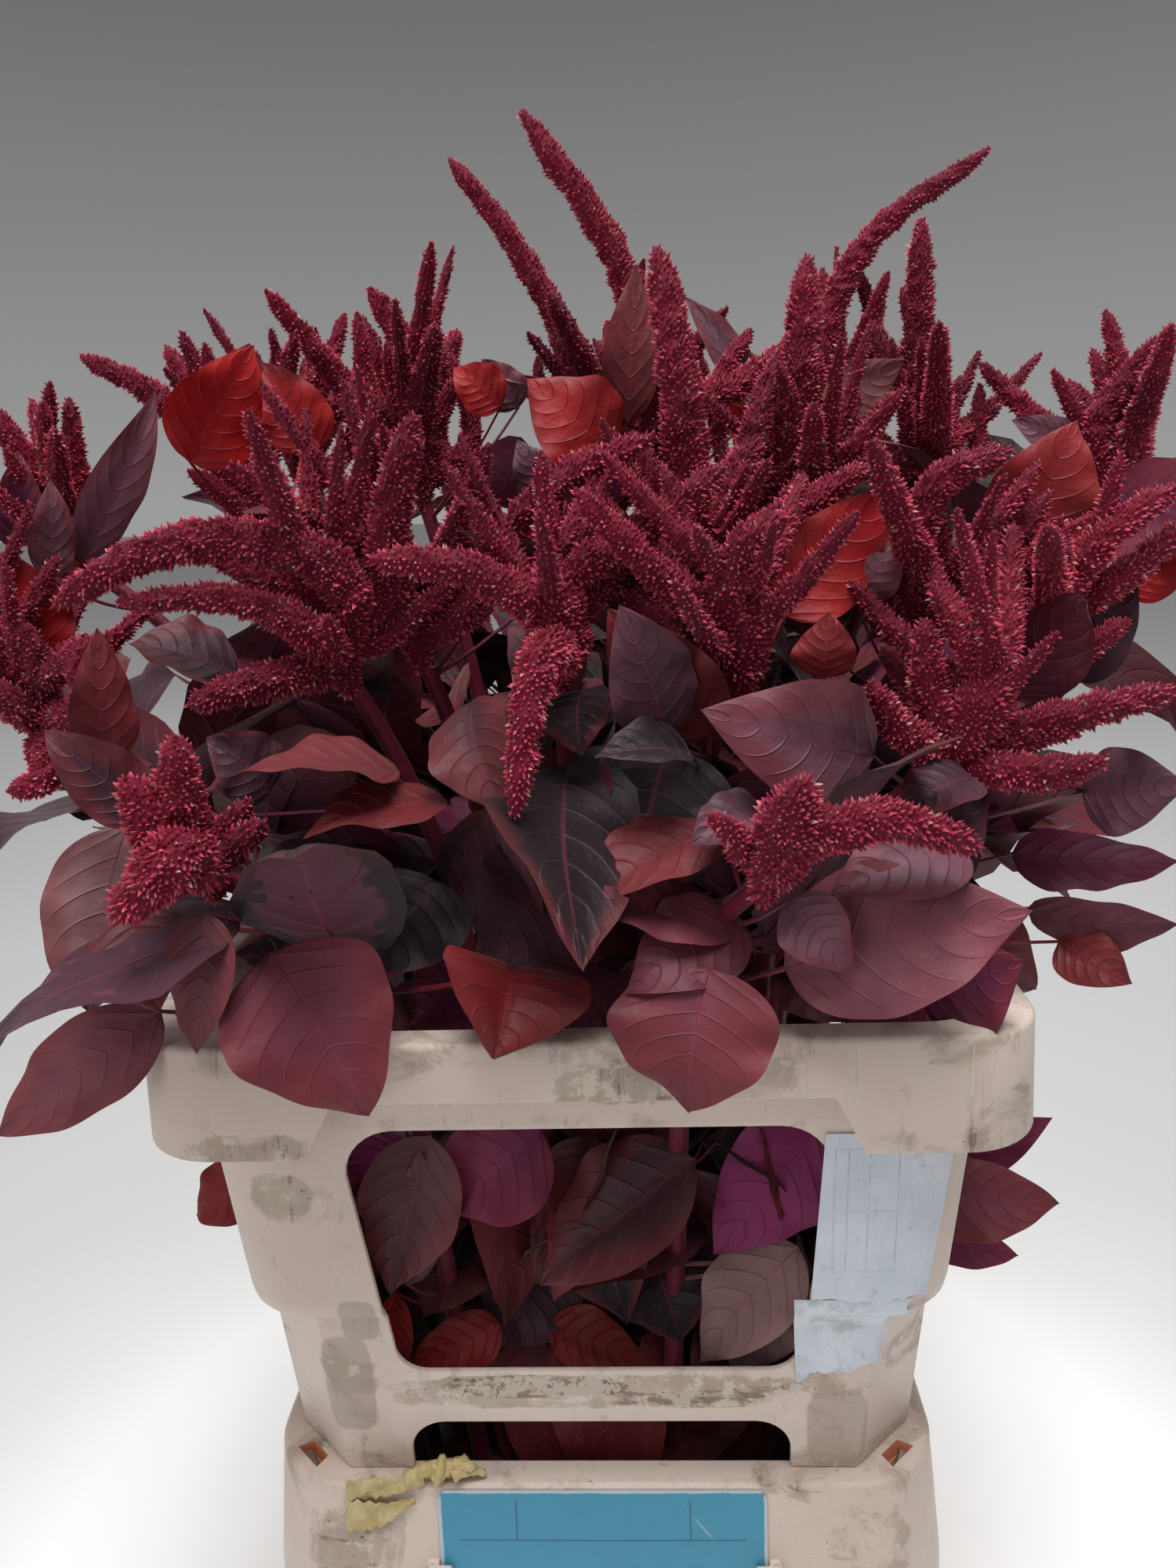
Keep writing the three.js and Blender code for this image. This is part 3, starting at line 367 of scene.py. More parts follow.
# Leaves of the solids that the photo shows: blade's base, tip, width, turn, bow, fold and colour
seenLeaves = [
    ((345, 1215, -227), (471, 1424, -238), 60, 0, 8, 0.05, "maroon"),
    ((905, 1235, -226), (878, 1420, -237), 58, 10, 7, 0.08, "maroon"),
    ((655, 1235, -205), (630, 1352, -240), 54, 0, 6, 0.5, "blood"),
    ((1000, 1235, -220), (1318, 1162, -228), 52, -10, 8, 0.1, "rose"),
    ((1115, 965, -188), (893, 905, -212), 45, 0, 8, 0.1, "mauveWithSheen"),
    ((850, 935, -190), (790, 770, -200), 34, 15, 4, 0.15, "plum"),
    ((1000, 785, -140), (1145, 617, -132), 38, 0, -4, 0.1, "backlitScarlet"),
    ((160, 1055, -238), (112, 1292, -246), 42, 0, 7, 0.1, "dusk"),
    ((195, 1040, -232), (55, 930, -242), 26, 0, 4, 0.1, "plum"),
    ((265, 1165, -238), (250, 1345, -246), 24, 20, 4, 0.15, "rose"),
    ((205, 1290, -215), (-5, 1450, -225), 34, 0, 8, 0.1, "rose"),
    # Scarlet leaves at the top: red leaves with painted light shining through them from behind
    ((260, 600, 20), (318, 437, 20), 46, 0, 4, 0.1, "backlitScarlet"),
    ((390, 560, 60), (345, 455, 60), 30, 0, 4, 0.1, "backlitScarlet"),
    ((800, 540, -60), (812, 335, -60), 25, 0, 4, 0.1, "rust"),
    ((965, 520, 20), (870, 375, 20), 22, 30, 4, 0.3, "mauveWithSheen"),
    ((1055, 520, -10), (1155, 458, -10), 26, 0, -6, 0.1, "dusk"),
    ((760, 570, 30), (668, 478, 30), 28, 0, 4, 0.1, "backlitScarlet"),
    ((1000, 560, 30), (915, 522, 30), 18, 0, 3, 0.1, "backlitScarlet"),
    ((105, 715, -70), (200, 497, -70), 25, 20, 4, 0.2, "mauveWithSheen"),
    ((65, 740, -80), (65, 610, -80), 20, 0, 4, 0.1, "mauveWithSheen"),
    ((20, 700, -60), (25, 575, -60), 22, 0, 4, 0.1, "wine"),
    ((1300, 715, -60), (1375, 535, -60), 48, 0, 4, 0.1, "backlitScarlet"),
    ((1370, 565, -20), (1290, 535, -20), 18, 0, 3, 0.1, "mauveWithSheen"),
    ((1050, 865, -160), (1058, 780, -160), 24, 0, 3, 0.1, "red"),
    ((510, 985, -190), (305, 985, -212), 34, 60, 4, 0.2, "rust"),
    ((570, 1020, -190), (385, 1070, -215), 30, 55, 4, 0.2, "blood"),
    ((930, 1185, -200), (735, 1165, -225), 32, 45, 4, 0.3, "maroon"),
    ((640, 720, -120), (605, 630, -120), 20, 0, 3, 0.1, "plum"),
    ((700, 640, -60), (660, 560, -60), 22, 0, 3, 0.1, "plum"),
    ((700, 745, -110), (762, 640, -115), 24, 0, 3, 0.1, "plum"),
    ((1370, 870, -100), (1450, 735, -100), 26, 0, 3, 0.1, "plum"),
    ((1440, 760, -80), (1520, 700, -80), 22, 0, 3, 0.1, "backlitScarlet"),
    ((1380, 1010, -150), (1515, 1000, -170), 34, 0, 5, 0.1, "mauveWithSheen"),
    ((1160, 1140, -180), (1262, 1005, -180), 30, 0, 4, 0.1, "plum"),
    ((1290, 1090, -170), (1505, 1100, -190), 30, 30, 5, 0.1, "wine"),
    ((1310, 1160, -190), (1505, 1180, -205), 24, 40, 5, 0.1, "maroon"),
    ((1350, 1200, -195), (1445, 1255, -212), 22, 0, 4, 0.1, "blood"),
    ((1165, 1530, -115), (1352, 1535, -120), 38, 0, 5, 0.1, "maroon"),
    ((1170, 1570, -90), (1300, 1602, -95), 24, 0, 4, 0.1, "wine"),
    ((1190, 1490, -70), (1343, 1425, -80), 28, 0, 4, 0.1, "wine"),
    ((330, 1500, -60), (250, 1550, -60), 34, 0, 4, 0.1, "red"),
    ((520, 1640, -178), (535, 1468, -182), 26, 0, -3, 0.1, "shade"),
    ((660, 1445, -165), (585, 1545, -172), 34, 0, 3, 0.1, "magenta"),
    ((1040, 1440, -165), (910, 1600, -174), 46, 0, 3, 0.1, "magenta"),
    ((1000, 1600, -168), (935, 1752, -178), 42, 0, 3, 0.1, "umber"),
    ((640, 1690, -165), (515, 1750, -175), 26, 0, 3, 0.1, "red"),
    ((700, 1690, -160), (830, 1742, -172), 26, 0, 3, 0.1, "red"),
    ((760, 1450, -150), (700, 1600, -160), 34, 0, 3, 0.1, "plum"),
]

stemSizes = {"wayShare": (0.6, 0.8), "wayMost": (128, 178), "wayHigh": 445, "footShare": (0.62, 0.68),
             "foot": 3.3, "radius": 4.6, "topRadius": 3.4, "hub": 9}


def makeStem(head):
    s = stemSizes
    limits = zip(head, s["wayShare"], s["wayMost"])
    wayX, wayY = (float(np.clip(h * share, -most, most)) for h, share, most in limits)
    way = vec(wayX, wayY, s["wayHigh"])
    foot = vec(wayX * s["footShare"][0], wayY * s["footShare"][1], s["foot"])
    foot[2] += s["radius"] * math.hypot(*(way - foot)[:2]) / way[2]
    lean = unit(way - foot)
    bend = way + lean * np.linalg.norm(head - way) * 0.5
    t = np.linspace(0, 1, 9)[:, None]
    curve = (1 - t) ** 2 * way + 2 * t * (1 - t) * bend + t ** 2 * head
    end = unit(head - bend)
    return {"head": head, "curve": curve, "path": np.array([foot, way, curve[4], head]),
            "hub": head + end * s["hub"], "lift": unit(end + up), "out": math.atan2(head[1], head[0])}


def stemAt(stem, z):  # the stem's middle at a height
    path = stem["path"]
    i = 0
    while i < len(path) - 2 and z > path[i + 1][2]:
        i += 1
    return path[i] + (path[i + 1] - path[i]) * (z - path[i][2]) / (path[i + 1][2] - path[i][2])


def heading(azimuth, elevation):
    flat = math.cos(elevation)
    return vec(math.cos(azimuth) * flat, math.sin(azimuth) * flat, math.sin(elevation))


def turned(v, axis, angle):
    along = axis * axis.dot(v) * (1 - math.cos(angle))
    return v * math.cos(angle) + np.cross(axis, v) * math.sin(angle) + along


stems = [makeStem(seen(head[0])) for head in seenHeads] + [makeStem(vec(*place)) for place in backHeads]
label = [f"{i + 1:02d}" for i in range(len(stems))]


def cornersOf(name):
    points = [v.co / mm for v in nodes[name].data.vertices]
    tree = KDTree(len(points))
    for i, point in enumerate(points):
        tree.insert(point, i)
    tree.balance()
    return tree


corners = {name: cornersOf(name) for name in nodes if name.startswith(("stem", "head"))}


def isThere(name, tip):  # whether the solid has this tip
    return corners[name].find(Vector(tip))[2] < tries["near"]


# Where the solids' leaves and spikes may stand: shifts in depth and how near a corner is, both in mm,
# and turns with the sizes that go with them
tries = {
    "shifts": [0, 8, -8, 16, -16, 26, -26, 38, -38], "near": 0.6, "golden": 2.39996,
    "swings": [0, 0.4, -0.4, 0.8, -0.8, 1.3, -1.3, 1.9, -1.9, 2.5, -2.5, 0],
    "sizes": [1, 1, 1, 0.92, 0.92, 0.84, 0.84, 0.76, 0.76, 0.7, 0.7, 0.6],
    "spikeSeed": 500, "leafSeed": 100,
}
spikes = [[] for _ in stems]  # for each head, (points, thickness)
leaves = [[] for _ in stems]  # for each stem, one dictionary a leaf


def addLeaf(i, root, base, tip, wide, facing, bow, fold, color, fine):
    leaves[i].append({"root": root, "base": base, "tip": tip, "wide": wide, "facing": facing, "bow": bow,
                      "fold": fold, "color": color, "fine": fine})


def towardsEye(base, tip, turn):
    return turned(unit(eyeAt - base), unit(tip - base), math.radians(turn))


def stalkRoot(stem, base):  # where the stalk of a leaf with this base leaves the stem
    return stemAt(stem, min(max(base[2] - 18, 262), stem["head"][2] - 5))


def findSeenSpikes():
    for i, (_, _, rows) in enumerate(seenHeads):
        for thickness, *places in rows:
            for shift in tries["shifts"]:
                points = [seen(place, shift) for place in places]
                if isThere("head_" + label[i], points[-1]):
                    spikes[i].append(([stems[i]["hub"], *points], thickness))
                    break


def ranged(span, d):  # a span is (least, what a draw of 1 adds)
    return span[0] + span[1] * d


# Spikes by rule: the main one of a head at the back, and those at the sides
moreSpikes = {
    "behind": 5, "thick": (7, 1.6),
    "main": {"rise": (1.25, 0), "long": (120, 30), "root": (30, 0), "lift": 0},
    "side": {"rise": (0.3, 0.75), "long": (56, 34), "root": (8, 26), "lift": 0.1},
}


def findMoreSpikes():
    for i, stem in enumerate(stems):
        draw = randomFrom(tries["spikeSeed"] + i)
        behind = i >= len(seenHeads)
        for k in range(moreSpikes["behind"] if behind else seenHeads[i][1]):
            rule = moreSpikes["main" if behind and k == 0 else "side"]
            azimuth = stem["out"] + (k + 1) * tries["golden"] + draw() - 0.5
            drawn = [draw(), draw(), draw()]
            elevation, long, far = (ranged(rule[key], d) for key, d in zip(("rise", "long", "root"), drawn))
            root = stem["hub"] + stem["lift"] * far
            for swing, size in zip(tries["swings"], tries["sizes"]):
                way = heading(azimuth + swing, elevation)
                tip = root + way * long * size + up * rule["lift"] * long * size
                if isThere("head_" + label[i], tip):
                    thickness = ranged(moreSpikes["thick"], drawn[2])
                    spikes[i].append(([root, root + way * long * size * 0.5, tip], thickness))
                    break


def findSeenLeaves():
    for base, tip, wide, turn, bow, fold, color in seenLeaves:
        for shift in tries["shifts"]:
            a, b = seen(base, shift), seen(tip, shift)
            owners = [i for i in range(len(stems)) if isThere("stem_" + label[i], b)]
            if owners:
                i = owners[0]
                addLeaf(i, stalkRoot(stems[i], a), a, b, wide, towardsEye(a, b, turn), bow, fold, color, True)
                break


# Leaves by rule: heights on the stem, and what share of the climb to the head the second and third take
moreLeaves = {
    "inside": (320, 90), "insideSize": 0.8, "above": 476, "below": 485, "climb": 130,
    "shares": ((0, 0.4), (0.6, 0.4)), "side": (0.15, 1.3), "rise": (0.45, 0.5), "hang": (-0.3, -0.5),
    "stalk": (14, 16), "stalkRise": 0.4, "long": (84, 40), "wide": (52, 24), "lie": 1.6,
    "bow": 7, "fold": 0.12, "colors": ("plum", "maroon", "wine", "plum", "mauveWithSheen", "maroon"),
    # Painted shade: leaves in the middle front, under the heads, take near-black ink, and wine ones in the
    # front half turn plum
    "shadeInkBefore": -165, "shadeInkWithin": 130, "shadePlumBefore": -60,  # darker towards the front
}


def findMoreLeaves():  # one inside the container and two above it on every stem, by the rule of the solids
    rule = moreLeaves
    for i, stem in enumerate(stems):
        draw = randomFrom(tries["leafSeed"] + i)
        for k in range(3):
            a, b, c, d, e = draw(), draw(), draw(), draw(), draw()
            inside = k == 0
            z = ranged(rule["inside"], a)
            if not inside:
                climb = min(stem["head"][2] - rule["below"], rule["climb"])
                z = rule["above"] + climb * ranged(rule["shares"][k - 1], a)
            root = stemAt(stem, z)
            azimuth = stem["out"] + (1 if k % 2 else -1) * ranged(rule["side"], b)
            elevation = ranged(rule["rise" if k == 1 else "hang"], c)
            for swing, size in zip(tries["swings"], tries["sizes"]):
                size *= rule["insideSize"] if inside else 1
                out = heading(azimuth + swing, rule["stalkRise"])
                base = root + out * ranged(rule["stalk"], c) * size
                way = heading(azimuth + swing, elevation)
                tip = base + way * ranged(rule["long"], d) * size
                if isThere("stem_" + label[i], tip):
                    upwards = heading(azimuth + swing, elevation + math.pi / 2)
                    facing = turned(upwards, way, rule["lie"] * (e - 0.5))
                    color = rule["colors"][int(6 * e)]
                    # painted shade: darker leaves towards the front
                    if tip[1] < rule["shadeInkBefore"] and abs(tip[0]) < rule["shadeInkWithin"]:
                        color = "ink"
                    elif color == "wine" and tip[1] < rule["shadePlumBefore"]:
                        color = "plum"
                    wide, bow = ranged(rule["wide"], d) * size, rule["bow"] * size
                    addLeaf(i, root, base, tip, wide, facing, bow, rule["fold"], color, False)
                    break


findSeenSpikes()
findMoreSpikes()
findSeenLeaves()
findMoreLeaves()
print("found", sum(map(len, spikes)), "spikes and", sum(map(len, leaves)), "leaves of the solids")


# Leaves that only the scene has: over the rim, in the window and between the heads
# Those in ink are dark leaves darkened further as painted shade, in the shaded gaps of the bunch
moreSeenLeaves = [
    ((305, 1090, -185), (492, 1132, -212), 46, 50, 5, 0.25, "plum"),
    ((560, 1125, -165), (468, 1250, -192), 50, 20, 5, 0.2, "ink"),
    ((705, 1105, -170), (608, 1232, -196), 54, -20, 5, 0.2, "plum"),
    ((852, 950, -168), (800, 1165, -188), 66, 10, 5, 0.2, "ink"),
    ((765, 955, -165), (778, 1092, -182), 34, 50, 5, 0.4, "plum"),
    ((925, 1060, -196), (730, 1168, -226), 32, 40, 6, 0.2, "rust"),
    ((945, 1172, -205), (798, 1268, -228), 36, 10, 4, 0.15, "maroon"),
    ((975, 1040, -206), (882, 1078, -222), 26, 30, 4, 0.4, "mauveWithSheen"),
    ((1010, 1145, -222), (1090, 1242, -238), 24, 10, 3, 0.2, "mauveWithSheen"),
    ((1232, 1085, -214), (1058, 1142, -228), 34, 30, 4, 0.15, "mauveWithSheen"),
    ((600, 1255, -150), (520, 1312, -172), 44, 0, 4, 0.2, "wine"),
    ((780, 1240, -150), (728, 1318, -172), 46, 10, 4, 0.2, "maroon"),
    ((165, 1165, -222), (205, 1292, -236), 34, 10, 4, 0.2, "rust"),
    ((880, 958, -196), (756, 966, -212), 22, 40, 4, 0.4, "ink"),
    ((600, 895, -180), (642, 1038, -204), 34, 30, 5, 0.35, "shade"),
    ((742, 880, -176), (742, 965, -190), 30, 30, 4, 0.3, "ink"),
    ((130, 980, -150), (124, 800, -150), 28, 25, 4, 0.2, "rust"),
    ((242, 590, -95), (322, 440, -95), 40, 10, 4, 0.15, "backlitScarlet"),
    ((405, 575, -70), (336, 462, -70), 32, 0, 4, 0.2, "backlitScarlet"),
    ((778, 580, -85), (672, 482, -85), 40, 10, 4, 0.1, "backlitScarlet"),
    ((640, 518, -40), (578, 468, -40), 24, 0, 3, 0.1, "backlitScarlet"),
    ((1010, 562, -60), (908, 520, -60), 22, 0, 3, 0.1, "backlitScarlet"),
    ((905, 940, -178), (775, 775, -186), 40, -20, 4, 0.2, "blood"),
    ((1185, 1165, -140), (1322, 1262, -150), 50, 20, 5, 0.15, "maroon"),
    ((1150, 1230, -120), (1300, 1296, -140), 40, 0, 4, 0.15, "wine"),
    ((1172, 1268, -196), (1306, 1226, -214), 46, 0, 4, 0.15, "wine"),
    ((1010, 1210, -140), (1092, 1305, -165), 40, 0, 4, 0.2, "ink"),
    ((225, 1125, -200), (162, 1258, -212), 30, 10, 4, 0.2, "blood"),
    ((302, 862, -160), (164, 820, -172), 36, 45, 4, 0.25, "plum"),
    ((34, 850, -110), (8, 700, -110), 44, 0, 3, 0.1, "backlitScarlet"),
    ((1090, 765, -130), (1142, 678, -130), 24, 0, 3, 0.15, "mauveWithSheen"),
    ((1215, 795, -118), (1266, 688, -118), 30, 0, 3, 0.15, "plum"),
    ((662, 520, 20), (614, 458, 20), 24, 0, 3, 0.1, "mauveWithSheen"),
    ((1240, 990, -182), (1150, 1040, -196), 30, 40, 4, 0.2, "plum"),
    ((345, 1010, -196), (262, 940, -206), 28, 20, 4, 0.2, "plum"),
    ((402, 1255, -150), (300, 1215, -182), 40, 30, 4, 0.2, "ink"),
    ((1085, 1255, -160), (1230, 1300, -190), 42, 10, 4, 0.1, "wine"),
    # In the window
    ((742, 1452, -140), (800, 1690, -168), 52, 25, 6, 0.35, "ink"),
    ((548, 1450, -176), (498, 1652, -183), 42, 15, 4, 0.15, "shade"),
    ((470, 1436, -158), (462, 1512, -164), 38, 0, 3, 0.1, "magenta"),
    ((690, 1438, -170), (565, 1545, -176), 50, 10, 4, 0.15, "magenta"),
    ((885, 1478, -174), (688, 1640, -180), 52, 30, 5, 0.3, "shade"),
    ((430, 1500, -60), (440, 1680, -80), 60, 0, 3, 0.1, "ink"),
    ((850, 1520, -150), (742, 1618, -166), 40, 20, 5, 0.25, "plum"),
    ((900, 1560, -145), (700, 1650, -170), 36, 35, 5, 0.3, "maroon"),
    ((830, 1600, -150), (868, 1712, -168), 44, 0, 4, 0.2, "ink"),
    ((600, 1560, -140), (540, 1680, -168), 44, 10, 4, 0.2, "ink"),
    ((700, 1600, -140), (640, 1720, -160), 50, 0, 4, 0.2, "plum"),
    ((760, 1660, -140), (740, 1760, -160), 50, 0, 4, 0.2, "ink"),
    ((950, 1450, -120), (900, 1560, -140), 50, 0, 4, 0.2, "ink"),
    ((560, 1450, -120), (610, 1590, -140), 50, 0, 4, 0.2, "ink"),
    ((505, 1650, -172), (520, 1755, -178), 16, 30, 3, 0.3, "red"),
    ((1018, 1590, -174), (892, 1738, -180), 40, 10, 4, 0.12, "umber"),
    ((960, 1700, -140), (880, 1765, -166), 44, 0, 4, 0.2, "plum"),
    # In the gap between the feet
    ((640, 1800, -120), (600, 1872, -150), 50, 0, 4, 0.2, "ink"),
    ((760, 1800, -120), (742, 1872, -150), 54, 0, 4, 0.2, "rust"),
    ((880, 1800, -120), (900, 1872, -150), 50, 0, 4, 0.2, "ink"),
]


def addSeenLeaves():
    for base, tip, wide, turn, bow, fold, color in moreSeenLeaves:
        a, b = seen(base), seen(tip)
        roots = [stalkRoot(stem, a) for stem in stems]
        i = min(range(len(stems)), key=lambda i: np.linalg.norm(roots[i] - a))
        addLeaf(i, roots[i], a, b, wide, towardsEye(a, b, turn), bow, fold, color, True)


# Smaller leaves and spikes by rule, which fill the bunch between the large ones
fill = {
    "seed": 7, "tries": 10, "frontMost": -168, "behindFrom": -40,
    "leaves": [
        {"count": 9, "from": (215, 430), "elevation": (-1.45, -0.3), "long": (80, 125), "swing": math.pi},
        {"count": 6, "from": (474, 640), "elevation": (-0.7, 1), "long": (55, 100), "swing": math.pi},
        {"count": 6, "from": (462, 500), "elevation": (-0.35, 0.3), "long": (60, 95), "swing": 1.2},
    ],
    "behind": [  # fewer gaps over the rim at the sides and back
        {"count": 3, "from": (466, 530), "elevation": (-0.5, 0.2), "long": (70, 110), "swing": 1.3},
        {"count": 3, "from": (470, 620), "elevation": (-0.6, 0.7), "long": (60, 100), "swing": math.pi},
    ],
    "wide": (0.46, 0.62), "stalk": (10, 30), "lie": (-0.9, 0.9), "bow": (0.02, 0.14), "fold": (0.05, 0.4),
    # Leaves lower than deepTo, deep inside the container, are mostly near-black ink: painted shade
    "insideTo": 450, "deepTo": 300, "shadedDeepColors": ("ink", "ink", "plum", "ink", "rust", "ink"),
    "colors": ("plum", "ink", "maroon", "wine", "ink", "rust"),
    "spikes": 11, "frontSpikes": 2, "spikeLong": (26, 76), "spikeThick": (4.8, 7), "spikeRise": (0.35, 1.35),
}
# What leaves keep clear of: up to each height, how far inside the rim they stay
rim = {"x": 168, "y": 223, "margin": 4, "insets": [(262, 56), (400, 42), (474, 24), (494, 14)]}


def hasRoom(points):  # clear of the container's walls and inside the solids' box
    for x, y, z in points:
        gap = rim["margin"]
        if not all(low / mm + gap < c < high / mm - gap for low, c, high in zip(cadLow, (x, y, z), cadHigh)):
            return False
        inset = next((inset for top, inset in rim["insets"] if z < top), None)
        if inset is not None and (abs(x) > rim["x"] - inset or abs(y) > rim["y"] - inset):
            return False
    return True


def fillLeaves(random, rules, frontMost):
    for i, stem in enumerate(stems):
        top = stem["head"][2]
        for rule in rules:
            for _ in range(rule["count"]):
                for _ in range(fill["tries"]):
                    low, high = rule["from"]
                    root = stemAt(stem, random.uniform(low, min(high, top - 3)))
                    azimuth = stem["out"] + random.uniform(-rule["swing"], rule["swing"])
                    elevation = random.uniform(*rule["elevation"])
                    long = random.uniform(*rule["long"])
                    wide = long * random.uniform(*fill["wide"])
                    base = root + heading(azimuth, 0.5) * random.uniform(*fill["stalk"])
                    tip = base + heading(azimuth, elevation) * long
                    way = unit(tip - base)
                    upwards = heading(azimuth, elevation + math.pi / 2)
                    facing = turned(upwards, way, random.uniform(*fill["lie"]))
                    side = np.cross(way, facing) * wide * 0.5
                    middle = base + (tip - base) * 0.4
                    points = [tip, base, middle, middle + side, middle - side]
                    if hasRoom(points) and (low < fill["insideTo"] or min(p[1] for p in points) > frontMost):
                        # painted shade: mostly ink deep inside the container
                        colors = fill["shadedDeepColors" if low < fill["deepTo"] else "colors"]
                        color = colors[random.integers(len(colors))]
                        bow, fold = long * random.uniform(*fill["bow"]), random.uniform(*fill["fold"])
                        addLeaf(i, root, base, tip, wide, facing, bow, fold, color, False)
                        break


def fillSpikes(random):
    for i, stem in enumerate(stems):
        front = stem["head"][1] < -200
        for _ in range(fill["frontSpikes" if front else "spikes"]):
            for _ in range(fill["tries"]):
                root = stem["hub"] + stem["lift"] * random.uniform(0, 20 if front else 46)
                way = heading(random.uniform(0, 2 * math.pi), random.uniform(*fill["spikeRise"]))
                long = random.uniform(*fill["spikeLong"]) * (0.45 if front else 1)
                tip = root + way * long + up * long * 0.12
                if hasRoom([tip]) and (front or tip[1] > -215):
                    thickness = random.uniform(*fill["spikeThick"])
                    spikes[i].append(([root, root + way * long * 0.5, tip], thickness))
                    break


addSeenLeaves()
fillLeaves(np.random.default_rng(fill["seed"]), fill["leaves"], fill["frontMost"])
fillSpikes(np.random.default_rng(fill["seed"] + 1))
fillLeaves(np.random.default_rng(fill["seed"] + 2), fill["behind"], fill["behindFrom"])
print("with the fill", sum(map(len, spikes)), "spikes and", sum(map(len, leaves)), "leaves")


# Leafy stems: lengths in mm, and shares of a blade's length or width
leafForm = {"thick": 0.5, "rib": 1.3, "veins": 7, "slant": 0.1, "arc": 0.16, "quilt": 0.27, "ripple": 0.06,
            "tipAt": 0.985, "curl": (-0.06, 0.1), "twist": (-0.8, 0.8), "sway": (-0.06, 0.06),
            "tones": (0.8, 1.2), "ribTone": (120, 30, 56), "stemTone": (112, 24, 50), "seed": 100,
            "sharpFrom": 75, "fineGrid": (37, 11), "smallGrid": (23, 9), "coarseGrid": (12, 5),
            "fineFrom": 30}
# ink is near black: dark leaves, darkened further as painted shade where the bunch lies in shadow
leafColors = {"plum": (76, 40, 54), "ink": (36, 18, 26), "maroon": (110, 48, 62), "rust": (108, 38, 44),
              # The bright scarlet is partly the leaves' own red and partly painted light shining through them
              # from behind; the greyish mauve is partly the leaves' own bloom and partly painted sheen
              "red": (132, 18, 22), "mauveWithSheen": (108, 66, 80), "wine": (104, 26, 64), "backlitScarlet": (158, 10, 16),
              "blood": (100, 14, 20), "umber": (148, 114, 110), "dusk": (144, 104, 106),
              "rose": (118, 62, 72), "magenta": (124, 34, 86), "shade": (86, 50, 56)}


def leafOutline(t):  # half width along a blade, as a share of its widest
    return t ** 0.6 * (1 - t) ** 1.06 / 0.338


